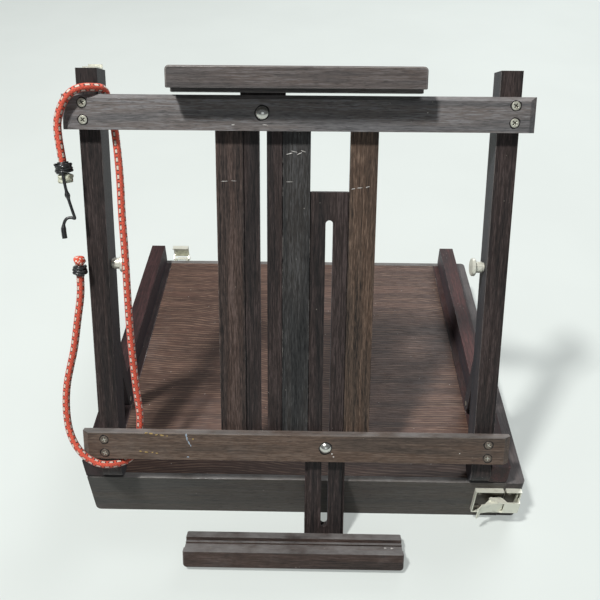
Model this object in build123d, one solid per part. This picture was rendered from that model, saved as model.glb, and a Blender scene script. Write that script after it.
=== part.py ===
from build123d import *
import math
import os

# A tabletop sketch-box easel (pochade box), in millimetres.
# Origin: the centre of the box's underside. X runs to the drawer's side, Y to the back, Z up.

# ---- the box ----
BOX_WIDTH = 420.0
BOX_DEPTH = 357.0
BOX_HEIGHT = 52.3
DRAWER_FRONT_THICK = 18.2
DRAWER_SEAM = 0.2
WALL = 12.0
PANEL_REBATE = 6.0
TOP_THICK = 6.0
BOTTOM_THICK = 4.0
CORNER_ROUND = 5.0
RUNNER_THICK = 2.0
RUNNER_WIDTH = 14.0
RUNNER_GAP = 2.0
STOP_WIDTH = 12.0
STOP_LENGTH = 220.0
STOP_PLAY = 1.0
STOP_ABOVE_DIVIDERS = 3.0

# ---- the two rails on the box and the flush members under them ----
RAIL_WIDTH = 17.2
RAIL_HEIGHT = 24.3
RAIL_END_CHAMFER = 2.0
TOP_MEMBER_WIDTH = 24.2

# ---- the drawer ----
DRAWER_SIDE = 8.0
DRAWER_CLEARANCE = 0.6
DRAWER_TOP = 44.0
DIVIDER_TOP = 34.0
DIVIDER = 5.0
DRAWER_FLOOR = 3.0
DRAWER_RUNNER_GAP = 0.3
DRAWER_FRONT_LIFT = 0.5
LONG_DIVIDER_Y = 34.0
CROSS_DIVIDER_X = (-58.0, 66.0)
DRAWER_INNER_END = -190.0
DRAWER_TRAVEL = 331.0

# ---- slotted pivot pins, sunk in the rails' outer faces, and their washers ----
PIN_HEAD_OVERHANG = 2.5
PIN_HEAD_SINK = 0.2
PIN_HEAD_THICK = 2.4
PIN_SLOT = (1.2, 1.0)
PIN_POCKET_PLAY = 0.2
PIN_REACH_IN_POST = 12.0
PIN_END_PLAY = 0.6
WASHER_THICK = 1.0
WASHER_PLAY = 0.1
WASHER_OVERHANG = 3.5

# ---- the easel frame, which leans back from its pivot low on the rails ----
LEAN_DEG = 24.84
PIVOT_Y = -170.2
PIVOT_RADIUS = 3.0
POST_WIDTH = 17.8
POST_DEPTH = 24.0
POST_TOP = 344.5
POST_FOOT_BELOW_BAR = 14.2
SIDE_GAP = 1.2
REST_GAP = 0.4
BAR_THICK = 9.0
LOWER_BAR = (-205.4, 186.8, 0.0, 26.4)
UPPER_BAR = (-202.9, 184.1, 295.5, 323.8)
BAR_END_BEVEL = (5.5, 4.0)
UPPER_BAR_TOP_BEVEL = 3.3
LOWER_BAR_TOP_BEVEL = 0.8
LOWER_BAR_SCREWS = (6.0, 19.2)
UPPER_BAR_SCREWS = (303.4, 316.9)
BAR_SCREW_OUTSET = 2.4
BAR_SCREW_PROUD = 0.4

# ---- slats and sliding masts between them ----
SLAT_THICK = 9.0
SLAT_WIDTH = 23.2
SLAT_GAP = 33.2
SLAT_TOP = 324.0
SLAT_SCREWS = (("lower_bar", 13.2), ("upper_bar", 309.6))
GROOVE_DEPTH = 2.9
GROOVE = (2.9, 6.3)
TONGUE = (3.2, 6.0)
MAST_FRONT_GAP = 0.3
MAST_BACK = 9.0
MAST_WIDTH = 31.8
TONGUE_WIDTH = 37.6
MAST_SLOT_WIDTH = 6.4
UPPER_MAST_X = -38.3
LOWER_MAST_X = 18.3
UPPER_MAST_SPAN = (0.4, 344.9)
LOWER_MAST_SPAN = (-94.0, 245.6)
MAST_SLOT_MARGIN = (21.1, 24.0)
UPPER_BOLT_HEIGHT = 309.9
LOWER_BOLT_HEIGHT = 13.5

# ---- the grooved moulding that makes both the tray and the top clamp ----
MOULDING_X = (-112.6, 91.9)
MOULDING_DEPTH = 30.0
MOULDING_BACK_HEIGHT = 19.0
MOULDING_BACK_DEPTH = 9.5
MOULDING_FLOOR = 14.0
MOULDING_LIP_HEIGHT = 16.7
MOULDING_LIP_DEPTH = 7.0
MOULDING_STEP = (3.0, 1.6)
MOULDING_ROUND = 3.5
MOULDING_CHAMFER = 1.0
MOULDING_SCREW_OFFSET = 9.0
MOULDING_SCREW_RISE = 15.5
TRAY_BOTTOM = -99.0
TRAY_CLEARANCE = 0.3
CLAMP_TOP = 344.9

# ---- slotted struts that prop the frame, and their thumb screws ----
STRUT_PIVOT = (-87.5, 64.5)
STRUT_WIDTH = 14.0
STRUT_THICK = 7.0
STRUT_TIP = 178.5
STRUT_SLOT = (108.0, 177.2)
STRUT_SLOT_WIDTH = 6.4
STRUT_PIN_RADIUS = 2.5
STRUT_RAIL_GAP = 0.8
STRUT_POST_GAP = 0.8
REBATE_SPAN = (57.0, 262.0)
REBATE_SKIN = 5.0
THUMB_HEIGHT = 180.0
THUMB_COLLAR = (1.8, 4.2)
THUMB_HUB = (7.4, 5.0)
THUMB_DISC = (10.9, 7.9)
THUMB_CHAMFER = 0.7
THUMB_PLAY = 0.3
STUD_PLAY = 0.4
INSERT_RADIUS = 3.6

# ---- crossed recesses in the countersunk screws ----
HEAD_DEPTH_SHARE = 0.6
RECESS_SHARE = 1.1
RECESS_WIDTH = 0.8
RECESS_DEPTH = 0.8

# ---- bolts, washers and wing nuts of the masts ----
RUNNING_FIT = 0.06
BOLT_RADIUS = 2.4
BOLT_END = 20.5
BOLT_HEAD_RADIUS = 5.3
BOLT_HEAD_RISE = 2.6
BOLT_NECK_HALF = 2.5
BOLT_NECK_LENGTH = 3.0
BOLT_WASHER = (6.5, 1.2)
BOLT_WASHER_GAP = 0.3
WING_NUT_GAP = 0.3
WING_HUB = (5.0, 4.0, 6.0)
WING_THICK = 2.2
WING_START = 1.0

# ---- draw latches: pressed sheet, in heights above the plate that they sit on ----
SHEET = 1.2
LATCH_PIVOT_RISE = 4.4
LATCH_CRANK = 8.0
LATCH_PIN_RADIUS = 1.1
LATCH_EAR_RADIUS = 2.5
LATCH_EAR_INSET = 1.3
LATCH_COVER = (7.8, 9.0)
LATCH_COVER_GAP = 1.2
LATCH_FLARE = 3.9
LATCH_FLARE_SLOPE = 0.9
LATCH_CHEEK = 1.0
LATCH_CHEEK_RADIUS = 2.7
LATCH_STUB_RADIUS = 1.0
LATCH_STUB_LENGTH = 1.4
LATCH_ARM = 1.1
LATCH_ARM_RADIUS = 2.4
LATCH_SCREW_RISE = 2.0
PAN_RIM = 4.5
PAN_LEFT = -24.0
PAN_RIGHT = 20.0
PAN_HALF = 16.5
PAN_SEAM_GAP = 1.2
PAN_SCREW_OFFSET = 10.5
DRAWER_LATCH_X = 187.5
DRAWER_PAN_Z = 28.0
DRAWER_LATCH_Z = 27.3
DRAWER_LATCH_HALF = 7.75
DRAWER_LATCH_COVER = (-19.5, 2.5)
DRAWER_LATCH_TAB = (-9.4, 5.6)
DRAWER_CLAW_REACH = 18.5
DRAWER_CLAW_ARM_END = 7.5
DRAWER_CLAW_TIP = 3.0
DRAWER_LATCH_ANGLE = 10.0
CATCH_BAR = (15.9, 17.1)
CATCH_BAR_HALF = 12.0
FRAME_LATCH_AT = (-177.5, 39.8)
FRAME_LATCH_HALF = 10.4
FRAME_LATCH_COVER = (-19.0, -1.5)
FRAME_CLAW_REACH = 16.2
FRAME_CLAW_ARM_END = 4.0
FRAME_CLAW_TIP = 1.6
FRAME_LATCH_ANGLE = 50.0
FRAME_LATCH_PLATE = (-24.0, 3.4)
LATCH_BLOCK = 10.4
LATCH_BLOCK_HALF = 11.0
LATCH_BLOCK_SPAN = (13.0, 44.0)
KEEPER_X = (-187.6, -175.6)
KEEPER_FRONT = 6.0
KEEPER_SHEET = 1.5
KEEPER_LIP = 4.5

# ---- the bungee cord, with a wire winding and a knob on each end ----
CORD_DIAMETER = 6.6
WRAP_LENGTH = 9.0
HOOK_WRAP_RADIUS = 7.2
FAR_WRAP_RADIUS = 6.2
KNOB_RADIUS = 5.0
KNOB_LENGTH = 8.0
KNOB_ROUND = 3.5
HOOK_RADIUS = 1.25
ARC_SHARE = 0.45

# ---- derived places ----
LEFT = -BOX_WIDTH / 2
RIGHT = BOX_WIDTH / 2
FRONT = -BOX_DEPTH / 2
BACK = BOX_DEPTH / 2
SEAM_X = RIGHT - DRAWER_FRONT_THICK - DRAWER_SEAM
RAIL_TOP = BOX_HEIGHT + RAIL_HEIGHT
FRAME_X = (LEFT + SEAM_X) / 2
RAIL_INSIDE = (SEAM_X - LEFT) / 2 - RAIL_WIDTH
PIVOT_Z = RAIL_TOP + REST_GAP - POST_DEPTH / 2
LEAN = math.radians(LEAN_DEG)
FRAME_Y = PIVOT_Y + POST_FOOT_BELOW_BAR * math.sin(LEAN) - POST_DEPTH / 2 * math.cos(LEAN)
FRAME_Z = PIVOT_Z + POST_FOOT_BELOW_BAR * math.cos(LEAN) + POST_DEPTH / 2 * math.sin(LEAN)
POST_OUTSIDE = RAIL_INSIDE - SIDE_GAP
POST_INSIDE = POST_OUTSIDE - POST_WIDTH
STRUT_OUTSIDE = RAIL_INSIDE - STRUT_RAIL_GAP
STRUT_INSIDE = STRUT_OUTSIDE - STRUT_THICK
REBATE_INSIDE = STRUT_INSIDE - STRUT_POST_GAP

# Frame coordinates: X across, Y back from the bars' back face, Z up along the posts.
FRAME = Location((0, FRAME_Y, FRAME_Z), (-LEAN_DEG, 0, 0))

NODES = {}


def block(x, y, z):
    """A rectangular solid from its low and high limits along each axis."""
    limits = (x, y, z)
    size = [high - low for low, high in limits]
    middle = [(high + low) / 2 for low, high in limits]
    return Pos(*middle) * Box(*size)


def rod(start, end, radius):
    """A round rod between two points."""
    start = Vector(*start)
    along = Vector(*end) - start
    base = Plane(origin=start, z_dir=along)
    return base * Cylinder(radius, along.length, align=(Align.CENTER, Align.CENTER, Align.MIN))


def prism(plane, points, length):
    """An outline on a plane, extruded along the plane's normal."""
    return extrude(plane * Polygon(*points, align=None), length, dir=plane.z_dir)


def cone_head(top, direction, radius, depth):
    """A countersunk screw head whose flat top is at one point."""
    base = Plane(origin=Vector(*top), z_dir=Vector(*direction))
    return base * Cone(radius, radius * 0.5, depth, align=(Align.CENTER, Align.CENTER, Align.MIN))


def countersunk_screw(top, direction, head_radius, shank_radius, length):
    """A screw from the centre of its head's flat top along its direction, and the hole it fills."""
    top = Vector(*top)
    direction = Vector(*direction).normalized()
    hole = cone_head(top, direction, head_radius, head_radius * HEAD_DEPTH_SHARE)
    hole += rod(top, top + direction * length, shank_radius)
    slot_length = head_radius * RECESS_SHARE
    face = Plane(origin=top, z_dir=direction)
    screw = hole - face * Box(slot_length, RECESS_WIDTH, 2 * RECESS_DEPTH)
    return screw - face * Box(RECESS_WIDTH, slot_length, 2 * RECESS_DEPTH), hole


def mirrored_x(centre, half_low, half_high, side):
    """The X limits of something that lies from half_low to half_high out from the centre."""
    edges = (centre + side * half_low, centre + side * half_high)
    return min(edges), max(edges)


def keep(name, shape):
    """Adds a shape to the nodes; a group of separate solids stays one node."""
    if isinstance(shape, list):
        shape = Compound(children=shape)
    NODES[name] = shape


# ------------------------------------------------------------------ the box


def box_carcass():
    wall_rebate = WALL - PANEL_REBATE
    panel_y = BACK - wall_rebate
    inner_y = BACK - WALL
    shelf_z = BOX_HEIGHT - TOP_THICK
    for name, side in (("front_wall", -1), ("back_wall", 1)):
        y_limits = sorted((side * inner_y, side * BACK))
        rebate_y = sorted((side * inner_y, side * panel_y))
        wall = block((LEFT, SEAM_X), y_limits, (0, BOX_HEIGHT))
        wall -= block((LEFT, SEAM_X), rebate_y, (shelf_z, BOX_HEIGHT))
        wall -= block((LEFT + wall_rebate, SEAM_X), rebate_y, (0, BOTTOM_THICK))
        lower_corner = wall.edges().filter_by(Axis.Y).sort_by(lambda e: e.center().X + e.center().Z)[0]
        keep(name, fillet(lower_corner, CORNER_ROUND))
    left_wall = block((LEFT, LEFT + WALL), (-inner_y, inner_y), (0, shelf_z))
    left_wall -= block((LEFT + wall_rebate, LEFT + WALL), (-inner_y, inner_y), (0, BOTTOM_THICK))
    lower_corner = left_wall.edges().filter_by(Axis.Y).sort_by(lambda e: e.center().X + e.center().Z)[0]
    keep("left_wall", fillet(lower_corner, CORNER_ROUND))

    panel_left = LEFT + TOP_MEMBER_WIDTH
    panel_right = SEAM_X - TOP_MEMBER_WIDTH
    top_z = (shelf_z, BOX_HEIGHT)
    keep("left_top_member", block((LEFT, panel_left), (-panel_y, panel_y), top_z))
    keep("right_top_member", block((panel_right, SEAM_X), (-panel_y, panel_y), top_z))
    keep("top_panel", block((panel_left, panel_right), (-panel_y, panel_y), top_z))
    bottom = block((LEFT + wall_rebate, SEAM_X), (-panel_y, panel_y), (0, BOTTOM_THICK))
    keep("bottom_panel", bottom)

    runner_y = (inner_y - RUNNER_GAP - RUNNER_WIDTH, inner_y - RUNNER_GAP)
    runner_x = (LEFT + WALL + RUNNER_GAP, SEAM_X - RUNNER_GAP)
    runner_z = (BOTTOM_THICK, BOTTOM_THICK + RUNNER_THICK)
    near_runner = block(runner_x, (-runner_y[1], -runner_y[0]), runner_z)
    keep("drawer_runners", [near_runner, block(runner_x, runner_y, runner_z)])
    stop_x = DRAWER_INNER_END + DRAWER_SIDE + DRAWER_TRAVEL + STOP_PLAY
    stop_y = (-STOP_LENGTH / 2, STOP_LENGTH / 2)
    stop_z = (DIVIDER_TOP + STOP_ABOVE_DIVIDERS, shelf_z)
    keep("drawer_stop", block((stop_x, stop_x + STOP_WIDTH), stop_y, stop_z))


def rails_and_pins():
    frame_pins = []
    strut_pins = []
    washers = []
    places = (
        (PIVOT_Y, PIVOT_Z, PIVOT_RADIUS, POST_OUTSIDE - PIN_REACH_IN_POST, frame_pins),
        (*STRUT_PIVOT, STRUT_PIN_RADIUS, STRUT_INSIDE, strut_pins),
    )
    rail_outside = RAIL_INSIDE + RAIL_WIDTH
    for name, side in (("left_rail", -1), ("right_rail", 1)):
        rail = block(
            mirrored_x(FRAME_X, RAIL_INSIDE, rail_outside, side),
            (FRONT, BACK),
            (BOX_HEIGHT, RAIL_TOP),
        )
        bottom_ends = rail.edges().filter_by(Axis.X).group_by(Axis.Z)[0]
        rail = chamfer(bottom_ends, RAIL_END_CHAMFER)
        for y, z, radius, inner_end, pins in places:
            head_radius = radius + PIN_HEAD_OVERHANG
            out = FRAME_X + side * (rail_outside - PIN_HEAD_SINK)
            head_floor = out - side * PIN_HEAD_THICK
            mouth = (out + side, y, z)
            end = (FRAME_X + side * inner_end, y, z)
            half_slot = PIN_SLOT[0] / 2
            slot = block(
                sorted((out, out - side * PIN_SLOT[1])),
                (y - half_slot, y + half_slot),
                (z - head_radius, z + head_radius),
            )
            head = rod((out, y, z), (head_floor, y, z), head_radius) - slot
            pins.append(head + rod((head_floor, y, z), end, radius))
            rail -= rod(mouth, (head_floor, y, z), head_radius + PIN_POCKET_PLAY)
            rail -= rod(mouth, end, radius)
        keep(name, rail)
        start = (FRAME_X + side * (RAIL_INSIDE - WASHER_PLAY), PIVOT_Y, PIVOT_Z)
        end = (start[0] - side * WASHER_THICK, PIVOT_Y, PIVOT_Z)
        washer = rod(start, end, PIVOT_RADIUS + WASHER_OVERHANG)
        washers.append(washer - rod(start, end, PIVOT_RADIUS))
    keep("pivot_pins", frame_pins + strut_pins)
    keep("pivot_washers", washers)


def drawer():
    inner_y = BACK - WALL - DRAWER_CLEARANCE
    cavity_y = inner_y - DRAWER_SIDE
    low_z = BOTTOM_THICK + RUNNER_THICK + DRAWER_RUNNER_GAP
    floor_z = low_z + DRAWER_FLOOR
    front_x = SEAM_X + DRAWER_SEAM
    end_x = DRAWER_INNER_END + DRAWER_SIDE
    front = block((front_x, RIGHT), (FRONT, BACK), (DRAWER_FRONT_LIFT, BOX_HEIGHT))
    corners = front.edges().filter_by(Axis.Z).group_by(Axis.X)[-1]
    keep("drawer_front", fillet(corners, CORNER_ROUND))
    side_x = (DRAWER_INNER_END, front_x)
    keep("drawer_near_side", block(side_x, (-inner_y, -cavity_y), (low_z, DRAWER_TOP)))
    keep("drawer_far_side", block(side_x, (cavity_y, inner_y), (low_z, DRAWER_TOP)))
    cavity = (-cavity_y, cavity_y)
    keep("drawer_end", block((DRAWER_INNER_END, end_x), cavity, (low_z, DRAWER_TOP)))
    keep("drawer_floor", block((end_x, front_x), cavity, (low_z, floor_z)))
    divider_z = (floor_z, DIVIDER_TOP)
    dividers = [block((end_x, front_x), (LONG_DIVIDER_Y, LONG_DIVIDER_Y + DIVIDER), divider_z)]
    for x in CROSS_DIVIDER_X:
        dividers.append(block((x, x + DIVIDER), (-cavity_y, LONG_DIVIDER_Y), divider_z))
    keep("drawer_dividers", dividers)


# ------------------------------------------------------------------ draw latches


def latch_plane(origin, pull, outward):
    """Latch coordinates: X the way it pulls, Z outward, with its pivot above the origin."""
    return Plane(origin=origin, x_dir=pull, z_dir=outward)


def across(plane, points, low, high):
    """A latch outline in its X and Z, extruded across its width from low to high."""
    side = Plane(origin=(0, high, 0), x_dir=(1, 0, 0), z_dir=(0, -1, 0))
    return plane * prism(side, points, high - low)


def eye(plane, x, radius, low, high):
    """A round lug or hole across the latch, on the pivot's level."""
    return plane * rod((x, low, LATCH_PIVOT_RISE), (x, high, LATCH_PIVOT_RISE), radius)


def pan(plane, low_x, high_x, half_width, open_side):
    """A shallow sheet-metal tray with a rim on three sides; the side at the seam is open."""
    body = block((low_x, high_x), (-half_width, half_width), (0, PAN_RIM))
    inner_x = [low_x + SHEET, high_x - SHEET]
    if open_side > 0:
        inner_x[1] = high_x
    else:
        inner_x[0] = low_x
    body -= block(inner_x, (-half_width + SHEET, half_width - SHEET), (SHEET, PAN_RIM))
    return plane * body


def latch_ears(plane, half_width):
    """Two upright ears that carry the lever's pin between the lever's cheeks."""
    rise = LATCH_PIVOT_RISE
    ear_half = half_width - LATCH_EAR_INSET
    ears = []
    for low in (-ear_half, ear_half - SHEET):
        high = low + SHEET
        ear = across(plane, ((-3.4, 1.0), (2.4, 1.0), (2.4, rise), (-2.6, rise)), low, high)
        ears.append(ear + eye(plane, 0, LATCH_EAR_RADIUS, low, high))
    return ears[0] + ears[1]


def latch_lever(plane, half_width, cover_x, tab):
    """The over-centre lever, closed: a cover with a flared tab, two cheeks and the claw's stubs."""
    rise = LATCH_PIVOT_RISE
    under, top = LATCH_COVER
    far, near = cover_x
    cover = plane * block(cover_x, (-half_width, half_width), LATCH_COVER)
    lift = LATCH_FLARE * LATCH_FLARE_SLOPE
    flare_points = (
        (far + 0.5, under),
        (far + 0.5, top),
        (far - LATCH_FLARE, top + lift),
        (far - LATCH_FLARE - 0.6, under + lift),
    )
    lever = cover + across(plane, flare_points, *tab)
    cheek_points = (
        (far + 2.0, top),
        (near - 1.0, top),
        (2.0, rise),
        (0, rise - 2.6),
        (-LATCH_CRANK, rise - 2.6),
        (-LATCH_CRANK - 3.0, rise),
    )
    for side in (-1, 1):
        low, high = sorted((side * half_width, side * (half_width - LATCH_CHEEK)))
        cheek = across(plane, cheek_points, low, high)
        cheek += eye(plane, 0, LATCH_CHEEK_RADIUS, low, high)
        lever += cheek - eye(plane, 0, LATCH_PIN_RADIUS + RUNNING_FIT, low, high)
        low, high = sorted((side * half_width, side * (half_width + LATCH_STUB_LENGTH)))
        lever += eye(plane, -LATCH_CRANK, LATCH_STUB_RADIUS, low, high)
    return lever


def latch_claw(plane, half_width, start, reach, tip, arm_end):
    """The claw, closed: two arms on the lever's stubs, a web and a hook at its far end."""
    rise = LATCH_PIVOT_RISE
    top = LATCH_COVER[1]
    width = (-half_width, half_width)
    claw = plane * block((start, reach), width, LATCH_COVER)
    claw += plane * block((reach - SHEET, reach), width, (tip, top))
    arm_points = (
        (-LATCH_CRANK, rise - 1.6),
        (arm_end - 5.0, rise - 1.6),
        (arm_end, top),
        (start - 1.7, top),
        (-LATCH_CRANK, rise + 1.6),
    )
    for side in (-1, 1):
        low, high = sorted((side * half_width, side * (half_width - LATCH_ARM)))
        arm = across(plane, arm_points, low, high)
        arm += eye(plane, -LATCH_CRANK, LATCH_ARM_RADIUS, low, high)
        claw += arm - eye(plane, -LATCH_CRANK, LATCH_STUB_RADIUS + RUNNING_FIT, low, high)
    return claw


def opened(plane, shape, angle):
    """A closed lever turned open about the latch's pivot."""
    pivot = plane.from_local_coords(Vector(0, 0, LATCH_PIVOT_RISE))
    return shape.rotate(Axis(pivot, plane.y_dir), angle)


def lifted(plane, shape, angle):
    """A claw carried by the lever's crank while it keeps its own direction."""
    turn = math.radians(angle)
    shift = plane.x_dir * (LATCH_CRANK * (1 - math.cos(turn)))
    shift += plane.z_dir * (LATCH_CRANK * math.sin(turn))
    return Pos(*shift) * shape


def latch_screw(plane, x, offset, head_radius, length):
    """A countersunk screw through a latch's plate, and its hole."""
    top = plane.from_local_coords(Vector(x, offset, LATCH_SCREW_RISE))
    return countersunk_screw(top, -plane.z_dir, head_radius, head_radius / 2, length)


def drawer_latch():
    """The latch at the front's right end, left on the wall and its catch on the drawer front."""
    pan_plane = latch_plane((DRAWER_LATCH_X, FRONT, DRAWER_PAN_Z), (1, 0, 0), (0, -1, 0))
    plane = latch_plane((DRAWER_LATCH_X, FRONT, DRAWER_LATCH_Z), (1, 0, 0), (0, -1, 0))
    half = DRAWER_LATCH_HALF
    lever_half = half - LATCH_STUB_LENGTH
    wall_end = SEAM_X - PAN_SEAM_GAP - DRAWER_LATCH_X
    base = pan(pan_plane, PAN_LEFT, wall_end, PAN_HALF, 1) + latch_ears(plane, lever_half)
    catch_start = SEAM_X + PAN_SEAM_GAP - DRAWER_LATCH_X
    catch = pan(pan_plane, catch_start, PAN_RIGHT, PAN_HALF, -1)
    catch += pan_plane * block(CATCH_BAR, (-CATCH_BAR_HALF, CATCH_BAR_HALF), (SHEET / 2, 4.0))
    screws = []
    catch_screws = []
    for offset in (PAN_SCREW_OFFSET, -PAN_SCREW_OFFSET):
        screw, hole = latch_screw(pan_plane, -19.0, offset, 2.6, 9.0)
        base -= hole
        NODES["front_wall"] -= hole
        screws.append(screw)
        screw, hole = latch_screw(pan_plane, 10.0, offset, 2.4, 9.0)
        catch -= hole
        NODES["drawer_front"] -= hole
        catch_screws.append(screw)
    keep("drawer_latch_base", base)
    keep("drawer_latch_catch", catch)
    keep("drawer_catch_screws", catch_screws)
    lever = latch_lever(plane, lever_half, DRAWER_LATCH_COVER, DRAWER_LATCH_TAB)
    keep("drawer_latch_lever", opened(plane, lever, DRAWER_LATCH_ANGLE))
    start = DRAWER_LATCH_COVER[1] + LATCH_COVER_GAP
    claw = latch_claw(plane, half, start, DRAWER_CLAW_REACH, DRAWER_CLAW_TIP, DRAWER_CLAW_ARM_END)
    keep("drawer_latch_claw", lifted(plane, claw, DRAWER_LATCH_ANGLE))
    return eye(plane, 0, LATCH_PIN_RADIUS, -lever_half, lever_half), screws


def frame_latch():
    """The latch on the back wall that holds the folded frame down by its left post."""
    centre_x, pivot_z = FRAME_LATCH_AT
    mount_y = BACK + LATCH_BLOCK
    block_x = (centre_x - LATCH_BLOCK_HALF, centre_x + LATCH_BLOCK_HALF)
    spacer = block(block_x, (BACK, mount_y), LATCH_BLOCK_SPAN)
    plane = latch_plane((centre_x, mount_y, pivot_z), (0, 0, 1), (0, 1, 0))
    half = FRAME_LATCH_HALF
    lever_half = half - LATCH_STUB_LENGTH
    base = plane * block(FRAME_LATCH_PLATE, (-half, half), (0, SHEET))
    base += latch_ears(plane, lever_half)
    screws = []
    for offset in (-5.5, 5.5):
        screw, hole = latch_screw(plane, -19.0, offset, 2.4, 18.0)
        base -= hole
        spacer -= hole
        NODES["back_wall"] -= hole
        screws.append(screw)
    keep("frame_latch_block", spacer)
    keep("frame_latch_base", base)
    lever = latch_lever(plane, lever_half, FRAME_LATCH_COVER, (-lever_half, lever_half))
    keep("frame_latch_lever", opened(plane, lever, FRAME_LATCH_ANGLE))
    start = FRAME_LATCH_COVER[1] + LATCH_COVER_GAP
    claw = latch_claw(plane, half, start, FRAME_CLAW_REACH, FRAME_CLAW_TIP, FRAME_CLAW_ARM_END)
    keep("frame_latch_claw", lifted(plane, claw, FRAME_LATCH_ANGLE))
    return eye(plane, 0, LATCH_PIN_RADIUS, -lever_half, lever_half), screws


def latches():
    drawer_pin, drawer_screws = drawer_latch()
    frame_pin, frame_screws = frame_latch()
    NODES["drawer_latch_base"] -= drawer_pin
    NODES["frame_latch_base"] -= frame_pin
    keep("latch_pins", [drawer_pin, frame_pin])
    keep("latch_screws", drawer_screws + frame_screws)


# ------------------------------------------------------------------ the easel frame


def post(side):
    """One upright, with a round foot at its pivot and a rebate that the strut folds into."""
    x_limits = mirrored_x(FRAME_X, POST_INSIDE, POST_OUTSIDE, side)
    middle = POST_DEPTH / 2
    pivot_z = -POST_FOOT_BELOW_BAR
    body = block(x_limits, (0, POST_DEPTH), (pivot_z, POST_TOP))
    body += rod((x_limits[0], middle, pivot_z), (x_limits[1], middle, pivot_z), middle)
    rebate_x = mirrored_x(FRAME_X, REBATE_INSIDE, POST_OUTSIDE, side)
    body -= block(rebate_x, (REBATE_SKIN, POST_DEPTH), REBATE_SPAN)
    outer = FRAME_X + side * POST_OUTSIDE
    blind_end = FRAME_X + side * (POST_OUTSIDE - PIN_REACH_IN_POST - PIN_END_PLAY)
    body -= rod((outer, middle, pivot_z), (blind_end, middle, pivot_z), PIVOT_RADIUS + RUNNING_FIT)
    return body


def bar(limits, top_bevel):
    """A cross bar with bevelled ends and a bevelled top arris on its front face."""
    low_x, high_x, low_z, high_z = limits
    run, depth = BAR_END_BEVEL
    outline = (
        (low_x, 0),
        (low_x, -BAR_THICK + depth),
        (low_x + run, -BAR_THICK),
        (high_x - run, -BAR_THICK),
        (high_x, -BAR_THICK + depth),
        (high_x, 0),
    )
    body = prism(Plane.XY.offset(low_z), outline, high_z - low_z)
    corner = (
        (-BAR_THICK, high_z - top_bevel),
        (-BAR_THICK, high_z),
        (-BAR_THICK + top_bevel, high_z),
    )
    return body - prism(Plane.YZ.offset(low_x), corner, high_x - low_x)


def easel_frame():
    posts = {"left_post": post(-1), "right_post": post(1)}
    bars = {
        "lower_bar": bar(LOWER_BAR, LOWER_BAR_TOP_BEVEL),
        "upper_bar": bar(UPPER_BAR, UPPER_BAR_TOP_BEVEL),
    }
    post_middle = (POST_INSIDE + POST_OUTSIDE) / 2
    screw_rows = {"lower_bar": LOWER_BAR_SCREWS, "upper_bar": UPPER_BAR_SCREWS}
    bar_screws = []
    for bar_name, heights in screw_rows.items():
        for post_name, side in (("left_post", -1), ("right_post", 1)):
            for height in heights:
                x = FRAME_X + side * (post_middle + BAR_SCREW_OUTSET)
                top = (x, -BAR_THICK - BAR_SCREW_PROUD, height)
                screw, hole = countersunk_screw(top, (0, 1, 0), 3.5, 1.7, 26.0)
                bars[bar_name] -= hole
                posts[post_name] -= hole
                bar_screws.append(FRAME * screw)

    first_slat = UPPER_MAST_X - SLAT_GAP / 2 - SLAT_WIDTH
    middle_slat = UPPER_MAST_X + SLAT_GAP / 2
    middle_width = LOWER_MAST_X - SLAT_GAP / 2 - middle_slat
    last_slat = LOWER_MAST_X + SLAT_GAP / 2
    slats = {
        "left_slat": (first_slat, SLAT_WIDTH, (1,)),
        "middle_slat": (middle_slat, middle_width, (-1, 1)),
        "right_slat": (last_slat, SLAT_WIDTH, (-1,)),
    }
    slat_screws = []
    for name, (low_x, width, grooved_sides) in slats.items():
        slat = block((low_x, low_x + width), (0, SLAT_THICK), (0, SLAT_TOP))
        for side in grooved_sides:
            edge = low_x if side < 0 else low_x + width
            groove_x = sorted((edge, edge - side * GROOVE_DEPTH))
            slat -= block(groove_x, GROOVE, (0, SLAT_TOP))
        for bar_name, height in SLAT_SCREWS:
            top = (low_x + width / 2, SLAT_THICK, height)
            screw, hole = countersunk_screw(top, (0, -1, 0), 3.0, 1.5, 15.0)
            slat -= hole
            bars[bar_name] -= hole
            slat_screws.append(FRAME * screw)
        keep(name, FRAME * slat)

    bolts = []
    washers = []
    for bar_name, x, z in (
        ("upper_bar", UPPER_MAST_X, UPPER_BOLT_HEIGHT),
        ("lower_bar", LOWER_MAST_X, LOWER_BOLT_HEIGHT),
    ):
        bolt = carriage_bolt(x, z)
        bars[bar_name] -= bolt
        bolts.append(FRAME * bolt)
        washer_start = (x, MAST_BACK + BOLT_WASHER_GAP, z)
        washer_end = (x, MAST_BACK + BOLT_WASHER_GAP + BOLT_WASHER[1], z)
        washer = rod(washer_start, washer_end, BOLT_WASHER[0])
        washers.append(FRAME * (washer - rod(washer_start, washer_end, BOLT_RADIUS)))
    keep("mast_bolts", bolts)
    keep("bolt_washers", washers)
    keep("bar_screws", bar_screws)
    keep("slat_screws", slat_screws)
    for name, shape in bars.items():
        keep(name, FRAME * shape)

    inserts = []
    for name, side in (("left_post", -1), ("right_post", 1)):
        start = (FRAME_X + side * POST_INSIDE, POST_DEPTH / 2, THUMB_HEIGHT)
        end = (FRAME_X + side * REBATE_INSIDE, POST_DEPTH / 2, THUMB_HEIGHT)
        sleeve = rod(start, end, INSERT_RADIUS)
        posts[name] -= sleeve
        inserts.append(FRAME * (sleeve - rod(start, end, BOLT_RADIUS + RUNNING_FIT)))
    keep("thumb_screw_inserts", inserts)
    keep("latch_keeper", FRAME * latch_keeper())
    for name, shape in posts.items():
        keep(name, FRAME * shape)


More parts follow.
